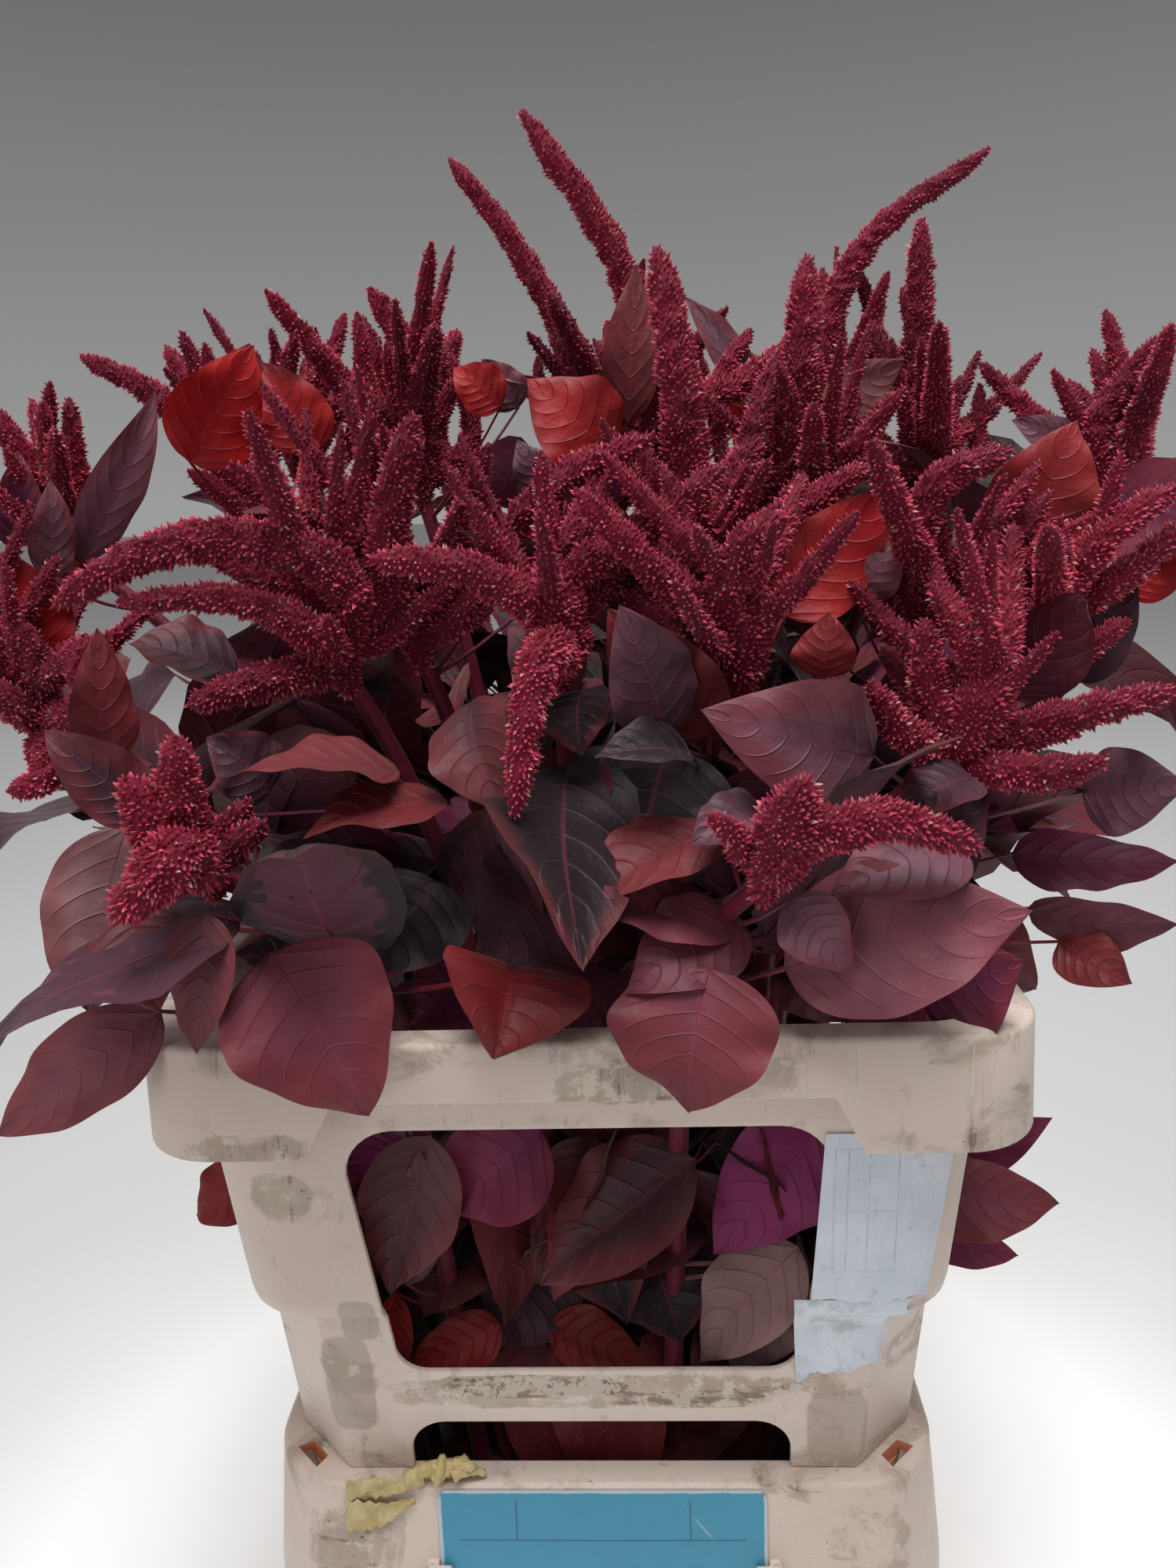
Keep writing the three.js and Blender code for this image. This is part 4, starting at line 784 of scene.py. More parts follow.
def leafShapes(leaf, random):
    f = leafForm
    wide, base, tip = leaf["wide"], leaf["base"], leaf["tip"]
    grid = ("fineGrid" if wide > f["fineFrom"] else "smallGrid") if leaf["fine"] else "coarseGrid"
    steps, across = f[grid]
    chord = tip - base
    long = np.linalg.norm(chord)
    n = unit(leaf["facing"] - chord * leaf["facing"].dot(chord) / long ** 2)
    t = np.linspace(0, f["tipAt"], steps)[:, None]
    loose = 0.4 if leaf["fine"] else 1
    curl = random.uniform(*f["curl"]) * long * loose
    middle = base + chord * t + n * (leaf["bow"] * 4 * t * (1 - t) - curl * np.sin(2 * math.pi * t) * t)
    along = np.gradient(middle, axis=0)
    along /= np.linalg.norm(along, axis=1)[:, None]
    side = np.cross(along, n)
    side /= np.linalg.norm(side, axis=1)[:, None]
    lift = np.cross(side, along)
    twist = random.uniform(*f["twist"]) * loose * t
    side, lift = side * np.cos(twist) + lift * np.sin(twist), lift * np.cos(twist) - side * np.sin(twist)
    middle = middle + side[:1] * random.uniform(*f["sway"]) * long * loose * np.sin(math.pi * t)
    v = np.linspace(-1, 1, across)[None]
    far = np.abs(v)
    half = np.maximum(wide / 2 * leafOutline(t), 0.5 * (1 - t))
    phase = random.uniform(0, 6, 4)
    waves = np.where(v < 0, np.sin(8 * t + phase[0]) + 0.45 * np.sin(19 * t + phase[2]),
                     np.sin(7 * t + phase[1]) + 0.45 * np.sin(21 * t + phase[3]))
    half = half * (1 + 0.035 * waves * np.sin(math.pi * t))
    ribs = f["veins"] * (t - f["slant"] * far - f["arc"] * far ** 2)
    height = leaf["fold"] * half * far * (1 - 0.25 * far)
    height = height + f["ripple"] * wide * waves * far ** 2.2 * np.sin(math.pi * t) ** 0.5
    if leaf["fine"]:
        quilt = f["quilt"] * wide / 50 * np.abs(np.sin(math.pi * ribs))
        height = height + quilt * (1 - far ** 3) * np.minimum(1, 4 * far)
    height = height - 0.6 * np.exp(-(v * half / 1.6) ** 2)
    sheet = middle[:, None] + side[:, None] * (half * v)[..., None] + lift[:, None] * height[..., None]
    thick = lift[:, None] * f["thick"] / 2
    ring = np.concatenate([sheet + thick * (far < 1)[..., None], (sheet - thick)[:, -2:0:-1]], axis=1)
    size = ring.shape[1]
    faces = []
    for i in range(steps - 1):
        for j in range(size):
            k = (j + 1) % size
            faces.append((i * size + j, (i + 1) * size + j, (i + 1) * size + k, i * size + k))
    end = steps * size
    faces += [(end, (steps - 1) * size + (j + 1) % size, (steps - 1) * size + j) for j in range(size)]
    faces.append(tuple(range(size)))
    tone = np.array(paint(*leafColors[leaf["color"]])[:3]) * random.uniform(*f["tones"])
    count = end + 1

    def onRings(above, below):  # a value for each point of the rings, and 0 at the tip
        return np.concatenate([np.tile(np.concatenate([above, below]), steps), [0]])

    blade = (np.concatenate([ring.reshape(-1, 3), [tip]]), faces, {
        "t": np.concatenate([np.repeat(t[:, 0], size), [1]]),
        "across": onRings(v[0], v[0, -2:0:-1]),
        "under": onRings(np.zeros(across), np.ones(across - 2)),
        "tone": np.tile(tone, (count, 1)), "seed": np.full(count, random.uniform(0, 1)),
    })
    share = np.linspace(0, 1, 6)[:-1, None]
    stalk = leaf["root"] + (base - leaf["root"]) * share - up * 2.5 * np.sin(math.pi * share)
    route = np.concatenate([stalk, (middle - lift * (f["thick"] + 0.4))[:int(steps * 0.8):3]])
    radii = np.linspace(f["rib"], 0.3, len(route)) * (0.6 + wide / 120)
    points, ribFaces, _ = tube(route, radii, 4)
    count = len(points)
    rib = (points, ribFaces, {
        "t": np.zeros(count), "across": np.zeros(count), "under": np.full(count, 2.0),
        "tone": np.tile(tone * 0.5 + np.array(paint(*f["ribTone"])[:3]) * 0.5, (count, 1)),
        "seed": np.zeros(count),
    })
    return [blade, rib]


def stemShape(stem):
    s = stemSizes
    straight = stem["path"][0] + (stem["path"][1] - stem["path"][0]) * np.linspace(0, 1, 12)[:-1, None]
    route = np.concatenate([straight, stem["curve"], [stem["hub"]]])
    radii = np.linspace(s["radius"], s["topRadius"], len(route))
    ribs = 1 + 0.07 * np.cos(np.arange(10) * math.pi)  # lengthwise ridges
    points, faces, values = tube(route, radii, 10, ribs[None] * np.ones((len(route), 1)))
    count = len(points)
    return points, faces, {
        "t": values["t"], "across": np.zeros(count), "under": np.full(count, 2.0),
        "tone": np.tile(paint(*leafForm["stemTone"])[:3], (count, 1)), "seed": np.zeros(count),
    }


def leafFinish():
    f = leafForm
    m = Finish("leaf", {"Specular IOR Level": 0.32, "Sheen Weight": 0.15, "Sheen Roughness": 0.4})
    t, across, under, seed = (m.attribute(name) for name in ("t", "across", "under", "seed"))
    tone = m.attribute("tone", 0)
    far = abs(across)
    blade = 1 - under.step(1.4, 1.6)
    ribs = (t - far * f["slant"] - far ** 2 * f["arc"]) * f["veins"]
    line = abs(m.calc("FRACT", ribs + 0.5) - 0.5)  # 0 on a side vein
    vein = (1 - line.step(0, 0.07)) * (1 - far.step(0.6, 0.95))
    middle = 1 - far.step(0, 0.05)
    pillow = abs(m.calc("SINE", ribs * math.pi)) * (1 - far ** 3) * far.step(0, 0.3)
    cloud = m.noise(24, 5, 0.6)
    patch = m.noise(9, 3)
    grain = m.noise(500, 3, 0.6)
    mesh = m.noise(240, 2)
    color = tone.tinted(cloud.step(0.3, 0.7).blend((0.68, 0.66, 0.72, 1), (1.2, 1.14, 1.12, 1)))
    # Away from the middle a blade turns from purple to rust, with a rather sharp edge
    rusty = (t * 0.55 + far * 0.5 + patch * 0.7 + seed * 0.75).step(1.28, 1.5) * blade
    color = (rusty * 0.5).over(color, (116, 38, 40))
    color = (under.step(0.4, 0.6) * blade * 0.45).over(color, (120, 50, 74))
    color = (vein * blade * 0.05).over(color, (150, 70, 88))
    color = (middle * blade * 0.3).over(color, (146, 56, 80))
    m.feed(
        color=color, roughness=grain * 0.12 + cloud * 0.2 + 0.38,
        normal=m.bump(pillow * 0.3 - vein * 0.32 + grain * 0.12 + cloud * 0.6 + mesh * 0.4, 0.0012, 0.8),
    )
    return m.material


def makeLeafyStems():
    material = leafFinish()
    for i, stem in enumerate(stems):
        random = np.random.default_rng(leafForm["seed"] + i)
        shapes = [stemShape(stem)]
        for leaf in leaves[i]:
            shapes += leafShapes(leaf, random)
        piece = meshObject("leafyStem" + label[i], joined(shapes), material)
        piece.data.set_sharp_from_angle(angle=math.radians(leafForm["sharpFrom"]))
        standFor(piece, "stem_" + label[i])


makeLeafyStems()
print("leafy stems")


# Flower heads: cores covered with small pointed florets by a Geometry Nodes tree. Lengths in mm
spikeForm = {"apart": 1.48, "long": 2.15, "thick": 0.92, "lean": 0.32, "stray": 0.4, "sizes": (0.6, 1.4),
             "coarseFrom": 60, "coarser": 1.28, "lumps": (0.76, 1.2), "seed": 300, "floretSeed": 40,
             # Darker at a floret's base and lighter at its tip: partly the florets' own colour, partly
             # painted shade between them and painted highlight on their tips
             "deepWithShade": ((106, 8, 40), (150, 18, 58)), "tipsWithHighlight": ((202, 52, 88), (250, 120, 144)),
             "pale": (246, 206, 184), "core": ((-10, 2.6), (-2, 5), (8, 10), (27, 11), (42, 3.5))}


def floretFinish():
    m = Finish("florets", {"Roughness": 0.8, "Specular IOR Level": 0.25, "Sheen Weight": 0.1,
                           "Sheen Roughness": 0.5})
    rise, tint = m.attribute("rise"), m.attribute("tint")
    deepWithShade = tint.between(spikeForm["deepWithShade"])
    tip = tint.step(0.1, 0.9).between(spikeForm["tipsWithHighlight"])
    pale = tint.step(0.93, 0.94).over(tip, spikeForm["pale"])
    # partly painted shade at the base and painted highlight at the tip
    color = rise.blend(deepWithShade, pale)
    patch = m.noise(20, 3).step(0.3, 0.7).blend((0.74, 0.62, 0.7, 1), (1.15, 1.1, 1.05, 1))
    m.feed(color=color.tinted(patch))
    return m.material


def floretTree(material):
    tree = bpy.data.node_groups.new("florets", "GeometryNodeTree")
    face = tree.interface
    face.new_socket("Spikes", in_out="INPUT", socket_type="NodeSocketGeometry")
    for name in ("Apart", "Long", "Thick", "Lean"):
        face.new_socket(name, in_out="INPUT", socket_type="NodeSocketFloat")
    face.new_socket("Seed", in_out="INPUT", socket_type="NodeSocketInt")
    face.new_socket("Florets", in_out="OUTPUT", socket_type="NodeSocketGeometry")
    w = Wire(tree)
    inputs = tree.nodes.new("NodeGroupInput")
    given = {s.name: Wire(tree, s) for s in inputs.outputs if s.name}
    cone = w.make("GeometryNodeMeshCone", {"fill_type": "NGON"}, {
        "Vertices": 3, "Radius Top": 0, "Radius Bottom": given["Thick"], "Depth": given["Long"]})
    high = w.make("ShaderNodeSeparateXYZ", {}, {0: w.make("GeometryNodeInputPosition")}, 2) / given["Long"]
    cone = w.make("GeometryNodeStoreNamedAttribute", {"data_type": "FLOAT"}, {
        "Geometry": cone, "Name": "rise", "Value": high})
    points = w.make("GeometryNodeDistributePointsOnFaces", {"distribute_method": "POISSON"}, {
        "Mesh": given["Spikes"], "Distance Min": given["Apart"],
        "Density Max": 3 / (given["Apart"] * given["Apart"]), "Seed": given["Seed"]})
    normal = Wire(tree, points.socket.node.outputs["Normal"])
    along = w.make("GeometryNodeInputNamedAttribute", {"data_type": "FLOAT_VECTOR"}, {"Name": "along"})
    leaning = w.make("ShaderNodeVectorMath", {"operation": "SCALE"}, {0: along, "Scale": given["Lean"]})
    stray = w.make("FunctionNodeRandomValue", {"data_type": "FLOAT_VECTOR"}, {
        "Min": (-spikeForm["stray"],) * 3, "Max": (spikeForm["stray"],) * 3, "Seed": given["Seed"]})
    aim = w.make("ShaderNodeVectorMath", {"operation": "ADD"}, {0: normal, 1: leaning})
    aim = w.make("ShaderNodeVectorMath", {"operation": "ADD"}, {0: aim, 1: stray})
    rotation = w.make("FunctionNodeAlignRotationToVector", {"axis": "Z"}, {"Vector": aim})
    low, high = spikeForm["sizes"]
    sizes = {2: low, 3: high, "Seed": given["Seed"] + 1}
    size = w.make("FunctionNodeRandomValue", {"data_type": "FLOAT"}, sizes, 1)
    size = size * w.make("GeometryNodeInputNamedAttribute", {"data_type": "FLOAT"}, {"Name": "size"})
    placed = w.make("GeometryNodeInstanceOnPoints", {}, {
        "Points": points, "Instance": cone, "Rotation": rotation, "Scale": size})
    tint = w.make("FunctionNodeRandomValue", {"data_type": "FLOAT"}, {"Seed": given["Seed"] + 2}, 1)
    placed = w.make("GeometryNodeStoreNamedAttribute", {"data_type": "FLOAT", "domain": "INSTANCE"}, {
        "Geometry": placed, "Name": "tint", "Value": tint})
    real = w.make("GeometryNodeRealizeInstances", {}, {"Geometry": placed})
    join = tree.nodes.new("GeometryNodeJoinGeometry")
    for part in (given["Spikes"], real):
        tree.links.new(part.socket, join.inputs[0])
    done = w.make("GeometryNodeSetMaterial", {}, {
        "Geometry": Wire(tree, join.outputs[0]), "Material": material})
    tree.links.new(done.socket, tree.nodes.new("NodeGroupOutput").inputs[0])
    return tree


def spikePath(points, count):  # the same curve as the solids', even in its own t
    p = [np.asarray(q, float) for q in points]
    p = [2 * p[0] - p[1], *p, 2 * p[-1] - p[-2]]
    spans = len(points) - 1
    path = []
    for s in np.linspace(0, spans, count):
        i = min(int(s), spans - 1)
        w = s - i
        a, b, c, d = p[i:i + 4]
        t0, t1 = (c - a) / 2, (d - b) / 2
        path.append(b + t0 * w + (-3 * b + 3 * c - 2 * t0 - t1) * w ** 2 + (2 * b - 2 * c + t0 + t1) * w ** 3)
    return np.array(path)


def spikeShape(points, thickness, random):
    long = sum(np.linalg.norm(np.subtract(b, a)) for a, b in zip(points, points[1:]))
    count = max(9, int(long / 4))
    t = np.linspace(0, 1, count)
    radii = 1.12 * thickness * np.minimum(1, 0.4 + 3 * t) * (1 - 0.42 * t ** 2)
    radii = radii * np.minimum(1, (1.03 - t) / 0.1) ** 0.5  # a blunt end
    lumps = random.uniform(*spikeForm["lumps"], (count, 10))
    points, faces, values = tube(spikePath(points, count), np.maximum(radii - 2, 0.8), 10, lumps)
    size = np.concatenate([np.repeat(1 - 0.25 * t ** 3, 10), [0.9, 0.7]]) * (0.75 + thickness / 36)
    return points, faces, {"along": values["along"], "size": size}


def coreShape(stem):
    heights, radii = zip(*spikeForm["core"])
    route = np.array([stem["hub"] + stem["lift"] * h for h in heights])
    points, faces, values = tube(route, radii, 9)
    return points, faces, {"along": values["along"], "size": np.ones(len(points))}


def makeHeads():
    f = spikeForm
    material = floretFinish()
    tree = floretTree(material)
    identifiers = {s.name: s.identifier for s in tree.interface.items_tree if s.in_out == "INPUT"}
    for i, stem in enumerate(stems):
        random = np.random.default_rng(f["seed"] + i)
        shapes = [coreShape(stem), *(spikeShape(*spike, random) for spike in spikes[i])]
        piece = meshObject("flowerHead" + label[i], joined(shapes), material)
        modifier = piece.modifiers.new("florets", "NODES")
        modifier.node_group = tree
        apart = f["apart"] * (f["coarser"] if stem["hub"][1] > f["coarseFrom"] else 1)
        for name, value in (("Apart", apart * mm), ("Long", f["long"] * mm), ("Thick", f["thick"] * mm),
                            ("Lean", f["lean"]), ("Seed", f["floretSeed"] + i)):
            modifier[identifiers[name]] = value
        baked(piece)
        piece.data.materials.clear()
        piece.data.materials.append(material)
        piece.data.polygons.foreach_set("material_index", [0] * len(piece.data.polygons))
        piece.data.shade_flat()
        standFor(piece, "head_" + label[i])


makeHeads()
print("flower heads")


# Container: a bucket and a collar that stands on its rim. A ring is (height, inset, corner, cut)
bucket = {
    "x": 144, "y": 199, "high": 256, "corner": 38, "bend": 196, "edge": 0.8,
    "rings": [
        (0, 30, 24), (1.2, 27.4, 26.4), (4, 26, 28), (236, 12, 31), (251, 10, 32), (252, 3, 35),
        (196, -3, 41), (150, -5, 43), (150, -8, 46), (196, -6, 44), (254.5, 0, 38), (256, 1.5, 36.5),
        (256, 13, 26, True), (250, 14, 28), (236, 15, 28), (7, 29, 25), (3, 33, 21),
    ],
    "pocket": [(-8, -3), (8, -3), (6, 4), (-6, 4)], "pocketAt": (126.5, 181.5, 248), "pocketDeep": 14,
    # Lugs that hold the card: their heights, and of each step the inner and outer end and the two depths
    "lugs": (214, 160), "lugSteps": ((69.6, 75, -1.5, 3.2), (64, 75, 1.6, 3.2)), "lugEdge": 0.5,
}
collar = {
    "x": 168, "y": 223, "corners": 12, "edge": 0.9,
    "rings": [
        (470, 13, 31), (470, 1.5, 28.5), (468.5, 0, 30), (425, -1.5, 31.5), (425, 1.5, 28.5), (466.5, 3, 27),
        (466, 10, 34), (452, 12.5, 31), (430, 15, 29), (346, 22, 28), (341, 23, 27.5), (338, 24.8, 27),
        (336, 27, 27, True), (256.3, 33, 27, True), (256.3, 36, 25.5, True), (335, 30, 25.5, True),
        (343, 25.5, 26), (430, 18, 26), (453, 15.5, 28),
    ],
    # The wall's distance, and half widths of the raised skirt, the window below and above, the foot gap
    "short": {"wall": 223, "skirt": 102, "window": (83, 93), "foot": 80},
    "long": {"wall": 168, "skirt": 152, "window": (136, 146), "foot": 132},
    "windowZ": (308, 427), "windowRound": (13, 20), "footZ": (236, 281), "footRound": (4, 15),
    "skirtZ": (425, 447), "skirtSlant": 11,
}


def plan(halfX, halfY, corner, z, cut=False):  # a rectangle with round or cut corners, seen from above
    ring = []
    count = collar["corners"]
    for q in range(4):
        sx, sy = (1, -1, -1, 1)[q], (1, 1, -1, -1)[q]
        for i in range(count + 1):
            a = (q + i / count) * math.pi / 2
            f = 1 / (abs(math.cos(a)) + abs(math.sin(a))) if cut else 1
            along, across = corner * f * math.cos(a), corner * f * math.sin(a)
            ring.append((sx * (halfX - corner) + along, sy * (halfY - corner) + across, z))
    return ring


def shell(form, closed):  # the rings joined in their order, as a tube in itself or between two end faces
    rings = [plan(form["x"] - inset, form["y"] - inset, corner, z, *cut)
             for z, inset, corner, *cut in form["rings"]]
    n = len(rings[0])
    faces = []
    for i in range(len(rings) if closed else len(rings) - 1):
        a, b = i * n, (i + 1) % len(rings) * n
        faces += [(a + j, a + (j + 1) % n, b + (j + 1) % n, b + j) for j in range(n)]
    if not closed:
        faces += [tuple(range(n)), tuple(range((len(rings) - 1) * n, len(rings) * n))]
    return np.array(rings).reshape(-1, 3), faces, {}


def prism(outline, low, high, place):  # an outline of (across, up), from one depth to another
    n = len(outline)
    points = [place @ Vector((x, -depth, z)) for depth in (low, high) for x, z in outline]
    faces = [(i, (i + 1) % n, n + (i + 1) % n, n + i) for i in range(n)]
    faces += [tuple(range(n)), tuple(range(n, 2 * n))]
    return np.array(points), faces, {}


def roundedOutline(halves, heights, rounds):
    outline = []
    for side, k, start in ((1, 0, -90), (1, 1, 0), (-1, 1, 90), (-1, 0, 180)):  # k is 0 below and 1 above
        half, z, r = side * halves[k], heights[k], rounds[k]
        middle = (half - math.copysign(r, half), z - r if k else z + r)
        for i in range(9):
            a = math.radians(start + 90 * i / 8)
            outline.append((middle[0] + r * math.cos(a), middle[1] + r * math.sin(a)))
    return outline


def outwards(mesh):
    bm = bmesh.new()
    bm.from_mesh(mesh)
    bmesh.ops.remove_doubles(bm, verts=bm.verts, dist=0.00002)
    bmesh.ops.recalc_face_normals(bm, faces=bm.faces)
    bm.to_mesh(mesh)
    bm.free()


def carved(name, body, cutters, edge, material):  # a body less its cutters, with its edges rounded
    piece = meshObject(name, body, material)
    outwards(piece.data)
    tool = meshObject(name + "Cutter", joined(cutters), material)
    outwards(tool.data)
    cut = piece.modifiers.new("cut", "BOOLEAN")
    cut.operation, cut.solver, cut.object = "DIFFERENCE", "EXACT", tool
    baked(piece)
    bpy.data.objects.remove(tool)
    outwards(piece.data)
    soft = piece.modifiers.new("edges", "BEVEL")
    soft.width, soft.segments, soft.limit_method, soft.angle_limit = edge * mm, 2, "ANGLE", math.radians(32)
    baked(piece)
    piece.data.set_sharp_from_angle(angle=math.radians(40))
    return piece


def collarCutters():
    c = collar
    cutters = []
    for k, side in enumerate((c["short"], c["long"], c["short"], c["long"])):
        place = Matrix.Rotation(math.radians(90 * k), 4, "Z")
        low, high = c["skirtZ"]
        half, top = side["skirt"], side["skirt"] - c["skirtSlant"]
        skirt = [(-half, low - 5), (half, low - 5), (half, low), (top, high), (-top, high), (-half, low)]
        wall = side["wall"]
        cutters.append(prism(skirt, wall - 6, wall + 6, place))
        window = roundedOutline(side["window"], c["windowZ"], c["windowRound"])
        cutters.append(prism(window, wall - 45, wall - 8, place))
        foot = roundedOutline((side["foot"], side["foot"]), c["footZ"], c["footRound"])
        cutters.append(prism(foot, wall - 45, wall - 20, place))
    return cutters


def bandInset(z):  # of the bucket's outer band, by height
    b = bucket
    return -6 * (b["high"] - z) / 60 if z > b["bend"] else -6 - 2 * (b["bend"] - z) / 46


def bucketCutters():
    x, y, z = bucket["pocketAt"]
    cutters = []
    for sx in (-1, 1):
        for sy in (-1, 1):
            place = Matrix.Translation((sx * x, sy * y, 0)) @ Matrix.Rotation(-sx * sy * math.pi / 4, 4, "Z")
            points = [place @ Vector((a, b, h)) for h in (z, z + bucket["pocketDeep"])
                      for a, b in bucket["pocket"]]
            walls = [(i, (i + 1) % 4, 4 + (i + 1) % 4, 4 + i) for i in range(4)]
            cutters.append((np.array(points), [(0, 1, 2, 3), (4, 5, 6, 7), *walls], {}))
    return cutters


def lugs():  # the hooks that hold the card at its sides
    shapes = []
    for z in bucket["lugs"]:
        tilt = math.atan2(bandInset(z) - bandInset(z + 8), 8)
        place = Matrix.Translation((0, -(bucket["y"] - bandInset(z + 4)), z)) @ Matrix.Rotation(-tilt, 4, "X")
        for side in (-1, 1):
            for x0, x1, low, high in bucket["lugSteps"]:
                outline = (x0, 0.5), (x0, 7.5), (x1 - 1.5, 8), (x1, 6.5), (x1, 1.5), (x1 - 1.5, 0)
                shapes.append(prism([(side * x, h) for x, h in outline], low, high, place))
    return shapes


# pocket is the orange of light shining through the plastic: painted light inside the rim's corner pockets
plastic = {"tones": ((214, 194, 182), (228, 210, 199)), "silt": ((160, 141, 124), (188, 171, 155)),
           "film": (172, 155, 142), "scuff": (116, 94, 74), "flake": (226, 212, 198), "point": (70, 54, 45),
           "rust": (188, 156, 120), "scratch": (234, 226, 214), "pocket": (214, 118, 70),
           "soft": 7, "specular": 0.4}


def distance(axes, patch, power, away):  # from a patch's middle, 1 at its half sizes and more outside
    for wire, middle, half in zip(axes, *patch):
        away = abs((wire - middle * mm) / (half * mm)) ** power + away
    return away


def plasticFinish(name, grime):
    m = Finish(name, {"Specular IOR Level": plastic["specular"]})
    x, y, z = (m.axis(k) for k in range(3))
    tone = m.noise(7, 4, 0.6).step(0.3, 0.72).between(plastic["tones"])
    fine = m.noise(900, 2)
    # Dirt that has settled in blots, thicker where hands, labels and other crates have been
    blots = m.noise(34, 8, 0.7, distortion=0.8)
    specks = m.noise(260, 4, 0.7)
    # Marks that run down the skirt, and along the crossbar below it
    streaks = m.noise(1, 5, 0.65, m.stretched(170, 170, 26))
    smears = m.noise(1, 5, 0.7, m.stretched(34, 34, 150))
    marks = z.step(0.312, 0.32) * (streaks - smears) + smears
    heavy = 0
    for low, high, strength in grime["bands"]:
        soft = plastic["soft"]
        above, below = z.step((low - soft) * mm, low * mm), 1 - z.step(high * mm, (high + soft) * mm)
        heavy = above * below * strength + heavy
    for *patch, strength in grime["patches"]:
        away = distance((x, y, z), patch, 3, m.noise(70, 5, 0.7) * 1.6)
        heavy = (1 - (away - 0.8).step(0.4, 1.1)) * strength + heavy
    dirt = (blots + heavy * 0.14 - 0.58).step(0, 0.16)
    scuffs = (marks + heavy * 0.055 - 0.65).step(0, 0.07)
    points = (specks + heavy * 0.03 + blots * 0.3 - 0.855).step(0, 0.05)
    flakes = (m.noise(110, 5, 0.7) + heavy * 0.04 - 0.62).step(0, 0.05)
    silt = m.noise(55, 5, 0.7).step(0.35, 0.65).between(plastic["silt"])
    color = (dirt * 0.72).blend(tone, silt)
    film = 0  # even grey patches that glue and wear have left
    for patch in grime["films"]:
        away = distance((x, y, z), patch, 4, m.noise(45, 4, 0.6) * 0.9)
        film = 1 - (away - 0.75).step(0.4, 0.75) * (1 - film)
    color = (film * (m.noise(20, 3) * 0.3 + 0.5)).over(color, plastic["film"])
    color = (scuffs * (dirt * 0.4 + 0.26)).over(color, plastic["scuff"])
    color = (flakes * dirt * 0.6).over(color, plastic["flake"])
    color = (points * 0.7).over(color, plastic["point"])
    rust = m.noise(26, 5, 0.6).step(0.64, 0.8) * 0.3
    color = rust.over(color, plastic["rust"])
    scratch = (m.noise(1, 3, 0.5, m.stretched(700, 700, 12)) - 0.66).step(0, 0.04)
    color = (scratch * 0.35).over(color, plastic["scratch"])
    # Painted light: the orange glow of light through the plastic, inside the corner pockets
    if grime["glowingPockets"]:
        px, py, _ = bucket["pocketAt"]
        inside = z.step(0.2462, 0.2476) * (1 - z.step(0.2552, 0.2558))
        for wire, middle in ((x, px), (y, py)):
            off = abs(abs(wire) - middle * mm)
            inside = inside * (1 - off.step(0.0085, 0.0095))
        reach = abs(x) + abs(y)
        inside = inside * (1 - reach.step((px + py + 6.2) * mm, (px + py + 7) * mm))
        color = (inside * 0.85).over(color, plastic["pocket"])
    roughness = dirt * 0.22 + fine * 0.06 + m.noise(30, 3) * 0.14 + 0.38
    relief = fine * 0.12 + dirt * 0.4 + points * 0.5 - scratch * 0.7 + m.noise(14, 2) * 0.5
    m.feed(color=color, roughness=roughness, normal=m.bump(relief, 0.0006, 0.6))
    return m


# Where dirt sits: bands (lowest, highest, how heavy), and patches and films with centres and half sizes in mm
collarGrime = {
    "glowingPockets": False,
    "bands": [(300, 311, 0.9), (256, 262, 0.9), (425, 430, 0.55), (464, 471, 0.75), (332, 340, 0.5)],
    "films": [((99, -190, 277), (13, 24, 21)), ((-104, -190, 302), (11, 24, 25)),
              ((-96, -190, 336), (8, 24, 12))],
    "patches": [
        ((18, -224, 449), (30, 20, 14), 2), ((62, -224, 455), (18, 20, 9), 0.9),
        ((-120, -224, 430), (22, 20, 7), 1.2), ((-104, -190, 296), (13, 22, 30), 0.8),
        ((98, -190, 278), (14, 22, 24), 0.8), ((0, -190, 297), (92, 20, 9), 1.5),
        ((-30, -190, 300), (44, 20, 6), 2.1), ((46, -190, 293), (26, 20, 5), 1.9),
        ((-120, -205, 398), (14, 20, 13), 1.3), ((150, -224, 440), (16, 20, 24), 0.7),
        ((-70, 195, 300), (40, 20, 12), 1.4), ((100, 224, 450), (34, 20, 14), 1.3),
        ((-165, 40, 450), (20, 50, 13), 1.3), ((150, 60, 300), (20, 60, 12), 1.4),
        ((-150, -90, 300), (20, 50, 12), 1.3), ((150, -150, 380), (20, 20, 24), 1.1),
    ],
}
bucketGrime = {
    "glowingPockets": True,
    "bands": [(252, 257, 0.8), (150, 156, 0.9), (0, 14, 1.1), (192, 198, 0.3)],
    "films": [((-112, -204, 210), (12, 16, 26))],
    "patches": [
        ((-112, -204, 214), (18, 16, 34), 1.2), ((-92, -204, 232), (10, 16, 22), 1),
        ((112, -204, 220), (20, 16, 28), 1), ((0, 204, 200), (60, 16, 34), 1.2),
        ((148, 60, 200), (16, 60, 26), 1.2), ((-148, -40, 190), (16, 50, 30), 1.2),
    ],
}


